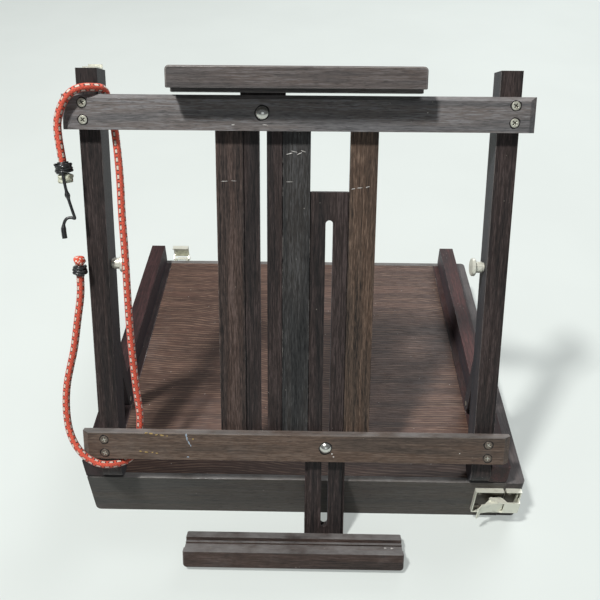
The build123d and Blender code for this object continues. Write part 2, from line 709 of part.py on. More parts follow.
def carriage_bolt(x, z):
    """A domed bolt whose square neck sits in the bar; its shank runs back through the mast."""
    sphere_radius = (BOLT_HEAD_RADIUS**2 + BOLT_HEAD_RISE**2) / (2 * BOLT_HEAD_RISE)
    front = -BAR_THICK
    crown = front - BOLT_HEAD_RISE
    reach = BOLT_HEAD_RADIUS + 1
    dome = Pos(x, crown + sphere_radius, z) * Sphere(sphere_radius)
    dome &= block((x - reach, x + reach), (crown - 1, front), (z - reach, z + reach))
    half = BOLT_NECK_HALF
    neck = block((x - half, x + half), (front, front + BOLT_NECK_LENGTH), (z - half, z + half))
    return dome + neck + rod((x, front, z), (x, BOLT_END, z), BOLT_RADIUS)


def latch_keeper():
    """A bent plate on the left post's top end, with a lip for the claw."""
    plate = block(KEEPER_X, (KEEPER_FRONT, POST_DEPTH), (POST_TOP, POST_TOP + KEEPER_SHEET))
    lip_y = (POST_DEPTH - KEEPER_SHEET, POST_DEPTH)
    return plate + block(KEEPER_X, lip_y, (POST_TOP, POST_TOP + KEEPER_LIP))


def mast(centre_x, span):
    """A slotted sliding mast with a tongue along each edge."""
    low, high = span
    slot = (low + MAST_SLOT_MARGIN[0], high - MAST_SLOT_MARGIN[1])
    half = MAST_WIDTH / 2
    tongue_half = TONGUE_WIDTH / 2
    body = block((centre_x - half, centre_x + half), (MAST_FRONT_GAP, MAST_BACK), span)
    body += block((centre_x - tongue_half, centre_x + tongue_half), TONGUE, span)
    radius = MAST_SLOT_WIDTH / 2
    slot_z = (slot[0] + radius, slot[1] - radius)
    body -= block((centre_x - radius, centre_x + radius), (0, MAST_BACK), slot_z)
    for z in slot_z:
        body -= rod((centre_x, 0, z), (centre_x, MAST_BACK, z), radius)
    return body


def edges_at_height(body, direction, height):
    """The edges along one direction that lie at one height."""
    return [e for e in body.edges().filter_by(direction) if abs(e.center().Z - height) < 0.01]


def moulding(outer_edge, inward):
    """The grooved strip: a back, a floor and a front lip, from its outer edge inward."""
    back_y = MAST_FRONT_GAP
    lip_y = back_y - MOULDING_DEPTH + MOULDING_LIP_DEPTH
    back_strip_y = back_y - MOULDING_BACK_DEPTH
    front_y = back_y - MOULDING_DEPTH
    step_y = back_strip_y - MOULDING_STEP[0]
    step_z = MOULDING_FLOOR + MOULDING_STEP[1]
    points = (
        (back_y, 0),
        (front_y, 0),
        (front_y, MOULDING_LIP_HEIGHT),
        (lip_y, MOULDING_LIP_HEIGHT),
        (lip_y, MOULDING_FLOOR),
        (step_y, MOULDING_FLOOR),
        (step_y, step_z),
        (back_strip_y, step_z),
        (back_strip_y, MOULDING_BACK_HEIGHT),
        (back_y, MOULDING_BACK_HEIGHT),
    )
    placed = [(y, outer_edge + inward * z) for y, z in points]
    low_x, high_x = MOULDING_X
    body = prism(Plane.YZ.offset(low_x), placed, high_x - low_x)
    body = fillet(edges_at_height(body, Axis.Y, outer_edge), MOULDING_ROUND)
    return chamfer(edges_at_height(body, Axis.X, outer_edge), MOULDING_CHAMFER)


def masts():
    """Both sliding masts with their strips; the lower set is cut level, to stand on the table."""
    under_table = block((LEFT, RIGHT), (2 * FRONT, 0), (2 * TRAY_BOTTOM, TRAY_CLEARANCE))
    sets = (
        ("upper_mast", UPPER_MAST_X, UPPER_MAST_SPAN, "canvas_clamp", CLAMP_TOP, -1),
        ("lower_mast", LOWER_MAST_X, LOWER_MAST_SPAN, "canvas_tray", TRAY_BOTTOM, 1),
    )
    for mast_name, x, span, strip_name, outer_edge, inward in sets:
        body = mast(x, span)
        strip = moulding(outer_edge, inward)
        screws = []
        for offset in (-MOULDING_SCREW_OFFSET, MOULDING_SCREW_OFFSET):
            top = (x + offset, MAST_BACK, outer_edge + inward * MOULDING_SCREW_RISE)
            screw, hole = countersunk_screw(top, (0, -1, 0), 3.0, 1.5, 16.0)
            body -= hole
            strip -= hole
            screws.append(FRAME * screw)
        keep(mast_name, FRAME * body - under_table)
        keep(strip_name, FRAME * strip - under_table)
        keep(strip_name + "_screws", screws)


def wing_nut(x, z):
    """A wing nut behind a mast: a tapered hub and two rounded wings."""
    start = MAST_BACK + BOLT_WASHER_GAP + BOLT_WASHER[1] + WING_NUT_GAP
    hub = Cone(*WING_HUB, align=(Align.CENTER, Align.CENTER, Align.MIN))
    body = Plane(origin=(x, start, z), z_dir=(0, 1, 0)) * hub
    wing_origin = (x, start + WING_START, z + WING_THICK / 2)
    wing_plane = Plane(origin=wing_origin, x_dir=(1, 0, 0), z_dir=(0, 0, -1))
    for side in (-1, 1):
        outline = (
            (side * 2.5, 0),
            (side * 5.5, 0),
            (side * 11.5, -5.0),
            (side * 12.0, -9.0),
            (side * 9.0, -9.5),
            (side * 5.0, -5.0),
            (side * 2.5, -4.0),
        )
        body += prism(wing_plane, outline, WING_THICK)
    return body - rod((x, 0, z), (x, 2 * BOLT_END, z), BOLT_RADIUS + RUNNING_FIT)


def strut():
    """A slotted strut in the YZ plane, from its foot pivot upward."""
    foot_y, foot_z = STRUT_PIVOT
    half = STRUT_WIDTH / 2

    def bar_of(length_low, length_high, radius):
        ends = (foot_z + length_low, foot_z + length_high)
        bar_body = block((0, STRUT_THICK), (foot_y - radius, foot_y + radius), ends)
        for z in ends:
            bar_body += rod((0, foot_y, z), (STRUT_THICK, foot_y, z), radius)
        return bar_body

    body = bar_of(0, STRUT_TIP, half) - bar_of(*STRUT_SLOT, STRUT_SLOT_WIDTH / 2)
    hole = rod((0, foot_y, foot_z), (STRUT_THICK, foot_y, foot_z), STRUT_PIN_RADIUS + RUNNING_FIT)
    return body - hole


def thumb_screw(side):
    """A thumb screw in the post's inner face: a stud, a collar, a hub and a domed disc."""
    centre_y, centre_z = POST_DEPTH / 2, THUMB_HEIGHT
    face = POST_INSIDE - THUMB_PLAY

    def turned(out_start, out_end, radius):
        start = (FRAME_X + side * (face - out_start), centre_y, centre_z)
        end = (FRAME_X + side * (face - out_end), centre_y, centre_z)
        return rod(start, end, radius)

    collar_end, collar_radius = THUMB_COLLAR
    hub_end, hub_radius = THUMB_HUB
    disc_end, disc_radius = THUMB_DISC
    disc = turned(hub_end, disc_end, disc_radius)
    disc = chamfer(disc.edges().filter_by(GeomType.CIRCLE), THUMB_CHAMFER)
    stud_end = face - (REBATE_INSIDE - STUD_PLAY)
    collar = turned(0, collar_end, collar_radius)
    hub = turned(collar_end, hub_end, hub_radius)
    return disc + collar + hub + turned(stud_end, 0, BOLT_RADIUS)


def struts_and_knobs():
    for name, side in (("left_strut", -1), ("right_strut", 1)):
        x_low = mirrored_x(FRAME_X, STRUT_INSIDE, STRUT_OUTSIDE, side)[0]
        keep(name, Pos(x_low, 0, 0) * strut())
    keep("left_thumb_screw", FRAME * thumb_screw(-1))
    keep("right_thumb_screw", FRAME * thumb_screw(1))
    keep("upper_wing_nut", FRAME * wing_nut(UPPER_MAST_X, UPPER_BOLT_HEIGHT))
    keep("lower_wing_nut", FRAME * wing_nut(LOWER_MAST_X, LOWER_BOLT_HEIGHT))


# ------------------------------------------------------------------ the bungee cord

# The cord's route in frame coordinates: X across, height along the posts, and distance in
# front of the bars' back face. It hangs from its wire hook, goes over the upper bar beside
# the left post, down behind both bars, under the lower bar and up again on the left.
CORD_ROUTE = (
    (-203.0, 269.0, 12.2),
    (-204.0, 279.0, 12.5),
    (-205.0, 290.0, 12.8),
    (-205.0, 301.0, 13.0),
    (-202.0, 311.0, 13.4),
    (-196.4, 320.6, 13.6),
    (-189.2, 326.8, 13.4),
    (-181.6, 328.9, 11.4),
    (-174.6, 329.0, 6.6),
    (-169.4, 328.8, 0.4),
    (-168.0, 323.2, -5.8),
    (-166.0, 313.0, -5.6),
    (-163.4, 299.0, -4.8),
    (-161.6, 280.0, -4.0),
    (-160.2, 255.0, -2.8),
    (-160.2, 225.0, -1.6),
    (-159.0, 195.0, -0.6),
    (-158.8, 165.0, -0.6),
    (-158.8, 130.0, -1.4),
    (-157.8, 95.0, -2.4),
    (-156.2, 62.0, -3.6),
    (-154.0, 41.0, -4.2),
    (-155.0, 24.0, -4.6),
    (-158.2, 9.0, -5.2),
    (-162.2, -3.0, -5.0),
    (-167.8, -6.0, 2.0),
    (-176.2, -5.2, 9.6),
    (-187.0, -3.8, 13.8),
    (-196.4, 0.8, 14.8),
    (-204.8, 7.6, 14.4),
    (-211.8, 17.6, 12.6),
    (-216.2, 30.0, 10.6),
    (-217.6, 44.0, 9.2),
    (-217.4, 58.0, 8.4),
    (-215.6, 73.0, 7.6),
    (-211.6, 89.0, 7.0),
    (-207.4, 104.0, 6.6),
    (-204.8, 118.0, 6.4),
    (-202.0, 134.0, 6.2),
    (-198.8, 150.0, 6.0),
    (-197.4, 162.0, 6.0),
    (-197.2, 172.6, 6.0),
)
HOOK_ROUTE = (
    (-201.8, 262.0, 18.6),
    (-200.2, 246.0, 17.8),
    (-196.0, 226.6, 15.4),
    (-195.4, 222.2, 13.2),
    (-199.4, 223.8, 12.0),
    (-204.2, 222.4, 13.0),
    (-206.4, 214.6, 14.0),
    (-205.2, 206.0, 14.2),
)


def frame_point(x, height, front):
    """A point given across, up the posts and in front of the bars' back face."""
    return FRAME * Pos(x, -front, height)


def route_points(route):
    return [frame_point(*point).position for point in route]


def corner_radii(points, share):
    """For each corner, the arc that takes the given share of its shorter run."""
    radii = []
    for before, corner, after in zip(points, points[1:], points[2:]):
        into = corner - before
        out = after - corner
        turn = math.radians(into.get_angle(out))
        radii.append(share * min(into.length, out.length) / math.tan(turn / 2))
    return radii


def tube(route, radius):
    """A tube of straight runs joined by tangent arcs, with its corners' radii."""
    points = route_points(route)
    radii = corner_radii(points, ARC_SHARE)
    path = FilletPolyline(*points, radius=radii)
    start = Plane(origin=points[0], z_dir=points[1] - points[0])
    body = sweep(start * Circle(radius), path=path)
    return body, path, radii


def bungee():
    """The cord, its black wire hook wound on one end, a wire winding and a knob on each end."""
    radius = CORD_DIAMETER / 2
    cord, path, radii = tube(CORD_ROUTE, radius)
    ratio = cord.volume / (math.pi * radius**2 * path.length)
    print("cord length", round(path.length, 1), "volume ratio", round(ratio, 4))
    print("cord corner radii", [round(r, 1) for r in radii])
    keep("bungee_cord", cord)
    points = route_points(CORD_ROUTE)
    wraps = []
    knobs = []
    ends = (
        (points[0], points[1], HOOK_WRAP_RADIUS),
        (points[-1], points[-2], FAR_WRAP_RADIUS),
    )
    for end, neighbour, wrap_radius in ends:
        out = (end - neighbour).normalized()
        knob_start = end + out * WRAP_LENGTH
        wraps.append(rod(end, knob_start, wrap_radius))
        knob = rod(knob_start, knob_start + out * KNOB_LENGTH, KNOB_RADIUS)
        tip = knob.faces().filter_by(GeomType.PLANE).sort_by_distance(end)[-1]
        knobs.append(fillet(tip.edges(), KNOB_ROUND))
    hook, _, _ = tube(HOOK_ROUTE, HOOK_RADIUS)
    keep("bungee_hook", wraps[0] + hook)
    keep("bungee_far_wrap", wraps[1])
    keep("bungee_end_knobs", knobs)


def main():
    box_carcass()
    rails_and_pins()
    drawer()
    latches()
    easel_frame()
    masts()
    struts_and_knobs()
    bungee()
    os.makedirs("parts", exist_ok=True)
    for name, shape in NODES.items():
        export_step(shape, f"parts/{name}.step")
    print(len(NODES), "nodes")


main()
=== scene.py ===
import bpy
import bmesh
import math
import random
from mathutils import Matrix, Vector


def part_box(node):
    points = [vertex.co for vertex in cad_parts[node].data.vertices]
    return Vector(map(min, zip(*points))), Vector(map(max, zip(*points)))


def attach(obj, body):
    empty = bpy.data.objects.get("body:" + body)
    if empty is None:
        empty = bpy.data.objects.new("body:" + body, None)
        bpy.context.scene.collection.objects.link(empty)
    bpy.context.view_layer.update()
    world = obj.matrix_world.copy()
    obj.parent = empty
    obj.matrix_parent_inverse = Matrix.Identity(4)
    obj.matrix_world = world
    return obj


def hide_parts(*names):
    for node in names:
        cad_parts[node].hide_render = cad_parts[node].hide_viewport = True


# A tabletop sketch-box easel in dark stained wood, with nickel latches and a bungee cord.
# Lengths named here are in millimetres; MM turns them into the frame's metres.

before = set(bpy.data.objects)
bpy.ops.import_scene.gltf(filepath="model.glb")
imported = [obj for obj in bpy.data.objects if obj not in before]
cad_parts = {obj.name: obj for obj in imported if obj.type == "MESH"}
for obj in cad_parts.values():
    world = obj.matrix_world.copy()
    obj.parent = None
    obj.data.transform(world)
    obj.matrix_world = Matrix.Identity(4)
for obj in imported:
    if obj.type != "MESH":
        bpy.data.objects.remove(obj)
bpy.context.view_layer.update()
scene = bpy.context.scene

# ---- driving values ----
MM = 0.001
LEAN = math.radians(24.84)
BAR_THICK = 9.0
FLOOR_Z = 0.0
CORD_DIAMETER = 6.6

CAMERA_PLACE = Vector((2.68, -583.83, 602.09)) * MM
CAMERA_PITCH = math.radians(38.96)
CAMERA_YAW = math.radians(-1.09)
CAMERA_LENS = 41.40

# ---- the leaning frame's own directions ----
UP = Vector((0, math.sin(LEAN), math.cos(LEAN)))
FRONT = Vector((0, -math.cos(LEAN), math.sin(LEAN)))
BAR_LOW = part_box("lower_bar")[0]
FRAME_ORIGIN = Vector((0, BAR_LOW.y + BAR_THICK * MM * math.cos(LEAN), BAR_LOW.z))


def on_frame(x, height, front):
    """A point across, up the posts and in front of the bars' back face, in metres."""
    return FRAME_ORIGIN + Vector((x, 0, 0)) * MM + UP * height * MM + FRONT * front * MM


# ---- camera ----


def make_camera():
    data = bpy.data.cameras.new("camera")
    data.lens = CAMERA_LENS
    data.sensor_width = 36.0
    data.clip_start = 0.01
    camera = bpy.data.objects.new("camera", data)
    scene.collection.objects.link(camera)
    level = math.cos(CAMERA_PITCH)
    forward = Vector((math.sin(CAMERA_YAW) * level, math.cos(CAMERA_YAW) * level,
                      -math.sin(CAMERA_PITCH)))
    camera.location = CAMERA_PLACE
    camera.rotation_mode = "QUATERNION"
    camera.rotation_quaternion = forward.to_track_quat("-Z", "Y")
    scene.camera = camera


make_camera()


# ---- shader helper ----


class Shader:
    """One material's node tree; the methods add nodes and return their output sockets."""

    def __init__(self, name):
        self.material = bpy.data.materials.new(name)
        self.material.use_nodes = True
        self.tree = self.material.node_tree
        self.surface = self.tree.nodes["Principled BSDF"]

    def set(self, **values):
        for key, value in values.items():
            self.surface.inputs[key.replace("_", " ")].default_value = value

    def connect(self, key, socket):
        self.tree.links.new(socket, self.surface.inputs[key])

    def node(self, kind, inputs=(), **settings):
        made = self.tree.nodes.new(kind)
        for key, value in settings.items():
            setattr(made, key, value)
        for key, value in dict(inputs).items():
            if isinstance(value, bpy.types.NodeSocket):
                self.tree.links.new(value, made.inputs[key])
            else:
                made.inputs[key].default_value = value
        return made

    def place(self):
        return self.node("ShaderNodeTexCoord").outputs["Object"]

    def axis(self, socket, letter):
        return self.node("ShaderNodeSeparateXYZ", {"Vector": socket}).outputs[letter]

    def turned(self, socket, location=(0, 0, 0), rotation=(0, 0, 0), scale=(1, 1, 1)):
        inputs = {"Vector": socket, "Location": location, "Rotation": rotation, "Scale": scale}
        return self.node("ShaderNodeMapping", inputs).outputs["Vector"]

    def noise(self, socket, scale=1.0, detail=3.0, roughness=0.55, distortion=0.0):
        inputs = {"Vector": socket, "Scale": scale, "Detail": detail, "Roughness": roughness,
                  "Distortion": distortion}
        return self.node("ShaderNodeTexNoise", inputs).outputs["Fac"]

    def streaky(self, socket, stretch, **more):
        """Noise with a scale of its own along each axis."""
        return self.noise(self.turned(socket, scale=stretch), **more)

    def facing(self, direction):
        """How far a surface faces a fixed direction of the object, from -1 to 1."""
        normal = self.node("ShaderNodeNewGeometry").outputs["Normal"]
        inputs = {0: normal, 1: direction}
        return self.node("ShaderNodeVectorMath", inputs, operation="DOT_PRODUCT").outputs["Value"]

    def inside(self, socket, half):
        """1 where a signed distance is within half either way."""
        return self.math("LESS_THAN", self.math("ABSOLUTE", socket), half)

    def spots(self, socket, scale, size):
        """1 inside scattered round spots."""
        inputs = {"Vector": socket, "Scale": scale}
        distance = self.node("ShaderNodeTexVoronoi", inputs).outputs["Distance"]
        return self.math("LESS_THAN", distance, size)

    def math(self, operation, a, b=0.0, c=0.0, clamp=False):
        inputs = {0: a, 1: b, 2: c}
        return self.node("ShaderNodeMath", inputs, operation=operation, use_clamp=clamp).outputs[0]

    def times(self, a, b):
        return self.math("MULTIPLY", a, b)

    def times_plus(self, a, b, added):
        return self.math("MULTIPLY_ADD", a, b, added)

    def between(self, socket, low, high):
        """0 below low and 1 above high."""
        inputs = {"Value": socket, "From Min": low, "From Max": high}
        return self.node("ShaderNodeMapRange", inputs, interpolation_type="SMOOTHSTEP").outputs["Result"]

    def spread(self, socket, low, high):
        """A 0 to 1 value laid over low to high."""
        inputs = {"Value": socket, "To Min": low, "To Max": high}
        return self.node("ShaderNodeMapRange", inputs).outputs["Result"]

    def mix(self, factor, a, b):
        made = self.node("ShaderNodeMix", data_type="RGBA")
        for index, value in ((0, factor), (6, a), (7, b)):
            if isinstance(value, bpy.types.NodeSocket):
                self.tree.links.new(value, made.inputs[index])
            elif index:
                made.inputs[index].default_value = (*value[:3], 1.0)
            else:
                made.inputs[index].default_value = value
        return made.outputs[2]

    def attribute(self, name):
        return self.node("ShaderNodeAttribute", attribute_name=name).outputs["Fac"]

    def bump(self, height, distance, strength=1.0):
        inputs = {"Height": height, "Distance": distance, "Strength": strength}
        return self.node("ShaderNodeBump", inputs).outputs["Normal"]


def scaled(tone, share):
    return tuple(channel * share for channel in tone)


# ---- mesh helpers ----


def spokes(axis, sides):
    """The angle and outward direction of each vertex of a ring round an axis."""
    side = axis.orthogonal().normalized()
    other = axis.cross(side)
    for k in range(sides):
        angle = 2 * math.pi * k / sides
        yield angle, side * math.cos(angle) + other * math.sin(angle)


def join_rings(shape, inner, outer):
    for k in range(len(inner)):
        after = (k + 1) % len(inner)
        shape.faces.new((inner[k], outer[k], outer[after], inner[after]))


def skin(shape, uv, rings, distances):
    """Faces over a row of rings, capped at both ends; their UVs are turn and metres."""
    sides = len(rings[0])
    for i in range(len(rings) - 1):
        for k in range(sides):
            after = (k + 1) % sides
            corners = (rings[i][k], rings[i][after], rings[i + 1][after], rings[i + 1][k])
            face = shape.faces.new(corners)
            for loop, turn, ring in zip(face.loops, (k, k + 1, k + 1, k), (i, i, i + 1, i + 1)):
                loop[uv].uv = (turn / sides, distances[ring])
    shape.faces.new(list(reversed(rings[0])))
    shape.faces.new(rings[-1])


def distances_along(points):
    """How far along a line each of its points is."""
    distances = [0.0]
    for a, b in zip(points, points[1:]):
        distances.append(distances[-1] + (b - a).length)
    return distances


def stand_in(piece, node, body):
    """Puts a piece in a CAD node's place on its body."""
    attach(piece, body)
    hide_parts(node)


def finished(shape, name):
    """The mesh of a bmesh, which is freed."""
    mesh = bpy.data.meshes.new(name)
    shape.to_mesh(mesh)
    shape.free()
    return mesh


# ---- the bungee cord ----

# The same route as the CAD tube's: X across, height along the posts, distance in front of
# the bars' back face.
CORD_ROUTE = (
    (-203.0, 269.0, 12.2),
    (-204.0, 279.0, 12.5),
    (-205.0, 290.0, 12.8),
    (-205.0, 301.0, 13.0),
    (-202.0, 311.0, 13.4),
    (-196.4, 320.6, 13.6),
    (-189.2, 326.8, 13.4),
    (-181.6, 328.9, 11.4),
    (-174.6, 329.0, 6.6),
    (-169.4, 328.8, 0.4),
    (-168.0, 323.2, -5.8),
    (-166.0, 313.0, -5.6),
    (-163.4, 299.0, -4.8),
    (-161.6, 280.0, -4.0),
    (-160.2, 255.0, -2.8),
    (-160.2, 225.0, -1.6),
    (-159.0, 195.0, -0.6),
    (-158.8, 165.0, -0.6),
    (-158.8, 130.0, -1.4),
    (-157.8, 95.0, -2.4),
    (-156.2, 62.0, -3.6),
    (-154.0, 41.0, -4.2),
    (-155.0, 24.0, -4.6),
    (-158.2, 9.0, -5.2),
    (-162.2, -3.0, -5.0),
    (-167.8, -6.0, 2.0),
    (-176.2, -5.2, 9.6),
    (-187.0, -3.8, 13.8),
    (-196.4, 0.8, 14.8),
    (-204.8, 7.6, 14.4),
    (-211.8, 17.6, 12.6),
    (-216.2, 30.0, 10.6),
    (-217.6, 44.0, 9.2),
    (-217.4, 58.0, 8.4),
    (-215.6, 73.0, 7.6),
    (-211.6, 89.0, 7.0),
    (-207.4, 104.0, 6.6),
    (-204.8, 118.0, 6.4),
    (-202.0, 134.0, 6.2),
    (-198.8, 150.0, 6.0),
    (-197.4, 162.0, 6.0),
    (-197.2, 172.6, 6.0),
)
HOOK_ROUTE = (
    (-201.8, 262.0, 18.6),
    (-200.2, 246.0, 17.8),
    (-196.0, 226.6, 15.4),
    (-195.4, 222.2, 13.2),
    (-199.4, 223.8, 12.0),
    (-204.2, 222.4, 13.0),
    (-206.4, 214.6, 14.0),
    (-205.2, 206.0, 14.2),
)
CORD_STEP = 0.7
CORD_SIDES = 40
BRAID_STRANDS = 8
BRAID_PITCH = 21.0
BRAID_DEPTH = 0.22
BRAID_SINK = 0.85
WIRE_RADIUS = 1.25
WRAP_LENGTH = 9.0
HOOK_WRAP_RADIUS = 7.2
FAR_WRAP_RADIUS = 6.2
KNOB_LENGTH = 8.0
HOOK_KNOB_RADIUS = 6.9
FAR_KNOB_RADIUS = 5.4
HOOK_BUMP = 1.0
HOOK_BUMP_AT = 0.30
HOOK_BUMP_SPREAD = 0.035
HOOK_TIP_EXTRA = 0.9
HOOK_TIP_FROM = 0.82
HOOK_TIP_STEP = 0.05
HOOK_STEP = 0.5
HOOK_SIDES = 16
WIRE_SIDES = 14
ROUTE_RESOLUTION = 16
STUB_STEPS = 8
STUB_INSIDE = 0.5
ROW_COUNT = 4
ROW_TWIST = 0.125
ROW_TWIST_RUN = 215.0
DASH_SPACING = 7.1
DASH_LENGTH = 3.3
DASH_WIDTH = 1.8
DASH_WANDER = 0.35
TICK_LENGTH = 0.95
TICK_WIDER = 1.15
DASH_WHITE = (0.90, 0.80, 0.68)
DASH_BLACK = (0.020, 0.012, 0.012)
CORD_RED = (0.93, 0.135, 0.075)
TANGLE_STEPS = 28
TANGLE_UNEVEN = 0.07
TANGLE_TILT = 0.16

# Along a knob, from the winding outward: the share of its length and of its radius.
FRAYED_KNOB = (
    (0.0, 0.66), (0.14, 0.84), (0.34, 0.97), (0.6, 1.0), (0.82, 0.9), (0.95, 0.66), (1.0, 0.2))
CUT_KNOB = (
    (0.0, 0.60), (0.10, 0.92), (0.3, 1.0), (0.6, 0.98), (0.85, 0.94), (0.97, 0.8), (1.0, 0.3))
KNOB_SIDES = 32
KNOB_WIDEST = 1.12


def smooth_line(points, resolution):
    """The points that a NURBS spline over the given control points passes."""
    curve = bpy.data.curves.new("route", "CURVE")
    curve.dimensions = "3D"
    curve.resolution_u = resolution
    spline = curve.splines.new("NURBS")
    spline.points.add(len(points) - 1)
    for control, point in zip(spline.points, points):
        control.co = (*point, 1.0)
    spline.order_u = 3
    spline.use_endpoint_u = True
    holder = bpy.data.objects.new("route", curve)
    scene.collection.objects.link(holder)
    bpy.context.view_layer.update()
    depsgraph = bpy.context.evaluated_depsgraph_get()
    mesh = bpy.data.meshes.new_from_object(holder.evaluated_get(depsgraph))
    line = [vertex.co.copy() for vertex in mesh.vertices]
    bpy.data.objects.remove(holder)
    bpy.data.curves.remove(curve)
    bpy.data.meshes.remove(mesh)
    return line


def evenly(line, step):
    """Points about one step apart along a line."""
    lengths = distances_along(line)
    count = max(2, round(lengths[-1] / step))
    points = []
    index = 0
    for k in range(count + 1):
        target = lengths[-1] * k / count
        while index < len(line) - 2 and lengths[index + 1] < target:
            index += 1
        span = max(lengths[index + 1] - lengths[index], 1e-9)
        points.append(line[index].lerp(line[index + 1], (target - lengths[index]) / span))
    return points


def frames_along(points, side):
    """For each point its direction and two sideways directions that don't twist from side."""
    directions = []
    for i in range(len(points)):
        ahead = points[min(i + 1, len(points) - 1)]
        behind = points[max(i - 1, 0)]
        directions.append((ahead - behind).normalized())
    found = []
    for direction in directions:
        side = (side - direction * side.dot(direction)).normalized()
        found.append((direction, side, direction.cross(side)))
    return found


def new_piece(name, mesh, material, smooth=True):
    mesh.materials.clear()
    mesh.materials.append(material)
    if smooth:
        mesh.shade_smooth()
    piece = bpy.data.objects.new(name, mesh)
    scene.collection.objects.link(piece)
    return piece


def tube_mesh(name, points, radius, sides, relief=None):
    """A tube along points. relief(turn, distance) moves its surface; its UVs are turn and metres."""
    shape = bmesh.new()
    uv = shape.loops.layers.uv.new("UVMap")
    rings = []
    distances = distances_along(points)
    for i, (point, (_, side, other)) in enumerate(zip(points, frames_along(points, FRONT))):
        size = radius(i / (len(points) - 1)) if callable(radius) else radius
        ring = []
        for k in range(sides):
            turn = k / sides
            angle = 2 * math.pi * turn
            reach = size + (relief(turn, distances[i]) if relief else 0.0)
            out = side * math.cos(angle) + other * math.sin(angle)
            ring.append(shape.verts.new(point + out * reach))
        rings.append(ring)
    skin(shape, uv, rings, distances)
    return finished(shape, name)


def braid_relief(turn, distance):
    """The low diamonds of a braid: two sets of strands that cross."""
    along = distance / (BRAID_PITCH * MM)
    first = abs(math.sin(math.pi * BRAID_STRANDS * (turn + along)))
    second = abs(math.sin(math.pi * BRAID_STRANDS * (turn - along)))
    return BRAID_DEPTH * MM * (first * second - BRAID_SINK)


def braid_material(name, base):
    """Crossing strands of one colour with painted shade in their seams, and four rows of pale dashes
    that end in black ticks.
    """
    shader = Shader(name)
    place = shader.node("ShaderNodeUVMap", uv_map="UVMap").outputs["UV"]
    split = shader.node("ShaderNodeSeparateXYZ", {"Vector": place})
    turn, metres = split.outputs["X"], split.outputs["Y"]
    along = shader.math("DIVIDE", metres, BRAID_PITCH * MM)
    first = shader.times(shader.math("ADD", turn, along), BRAID_STRANDS)
    second = shader.times(shader.math("SUBTRACT", turn, along), BRAID_STRANDS)
    cells = shader.node("ShaderNodeCombineXYZ", {
        "X": shader.math("FLOOR", first), "Y": shader.math("FLOOR", second)}).outputs[0]
    cell_tone = shader.node("ShaderNodeTexWhiteNoise", {"Vector": cells}).outputs["Value"]
    seam = shader.math("MINIMUM", shader.math("PINGPONG", first, 0.5),
                       shader.math("PINGPONG", second, 0.5))
    # The seams between crossing strands are painted darker: painted shade in the braid's grooves.
    groove_shade = shader.between(seam, 0.0, 0.14)
    tone = shader.mix(cell_tone, scaled(base, 0.78), scaled(base, 1.12))
    colour = shader.mix(groove_shade, scaled(base, 0.5), tone)
    twist = shader.math("SUBTRACT", 1.0, shader.math("DIVIDE", metres, ROW_TWIST_RUN * MM), clamp=True)
    turned = shader.times_plus(twist, ROW_TWIST, turn)
    row = shader.times(turned, ROW_COUNT)
    sideways = shader.math("SUBTRACT", shader.math("FRACT", shader.math("ADD", row, 0.5)), 0.5)
    parity = shader.math("FRACT", shader.times(shader.math("ROUND", row), 0.5))
    wander = shader.streaky(place, (3.0, 90.0, 1.0), detail=1.0)
    run = shader.times_plus(metres, 1.0 / (DASH_SPACING * MM), parity)
    run = shader.times_plus(wander, DASH_WANDER, run)
    run = shader.math("SUBTRACT", shader.math("FRACT", run), 0.5)
    half_turn = DASH_WIDTH / 2 / (math.pi * CORD_DIAMETER) * ROW_COUNT
    half_run = DASH_LENGTH / 2 / DASH_SPACING
    tick_run = half_run + TICK_LENGTH / DASH_SPACING
    dash = shader.times(shader.inside(sideways, half_turn), shader.inside(run, half_run))
    tick = shader.times(shader.inside(sideways, half_turn * TICK_WIDER),
                       shader.inside(run, tick_run))
    fray = shader.streaky(place, (90.0, 2600.0, 1.0), detail=2.0)
    colour = shader.mix(tick, colour, DASH_BLACK)
    white = shader.mix(shader.between(fray, 0.35, 0.65), scaled(DASH_WHITE, 0.8), DASH_WHITE)
    colour = shader.mix(dash, colour, white)
    fibres = shader.streaky(place, (160.0, 5200.0, 1.0), detail=2.0)
    colour = shader.mix(shader.spread(fibres, 0.0, 0.22), colour, scaled(base, 0.5))
    shader.connect("Base Color", colour)
    shader.set(Roughness=0.6, Sheen_Weight=0.25, Sheen_Roughness=0.45)
    height = shader.times_plus(dash, 1.6, fibres)
    shader.connect("Normal", shader.bump(height, 0.00014, 0.6))
    return shader.material


def black_wire_material():
    shader = Shader("black_wire")
    place = shader.place()
    scuffs = shader.between(shader.noise(place, 420.0, 4.0), 0.56, 0.72)
    patches = shader.noise(place, 90.0, 2.0)
    tone = shader.mix(patches, (0.010, 0.010, 0.011), (0.028, 0.028, 0.030))
    worn = shader.times(scuffs, 0.5)
    shader.connect("Base Color", shader.mix(worn, tone, (0.20, 0.20, 0.21)))
    shader.connect("Roughness", shader.spread(patches, 0.28, 0.5))
    shader.set(Coat_Weight=0.3, Coat_Roughness=0.2)
    shader.connect("Normal", shader.bump(scuffs, 0.00005, 0.4))
    return shader.material


def wire_tangle(start, direction, turns, radius, length):
    """The centreline of wire wound unevenly round a cord's end: turns that tilt and cross."""
    side = direction.orthogonal().normalized()
    other = direction.cross(side)
    steps = TANGLE_STEPS * turns
    points = []
    for k in range(steps + 1):
        share = k / steps
        angle = 2 * math.pi * turns * share
        reach = radius * (1.0 + TANGLE_UNEVEN * math.sin(2.3 * angle + 0.8))
        along = length * (share + TANGLE_TILT * math.sin(angle) * math.sin(math.pi * share))
        out = side * math.cos(angle) + other * math.sin(angle)
        points.append(start + direction * along + out * reach)
    return points


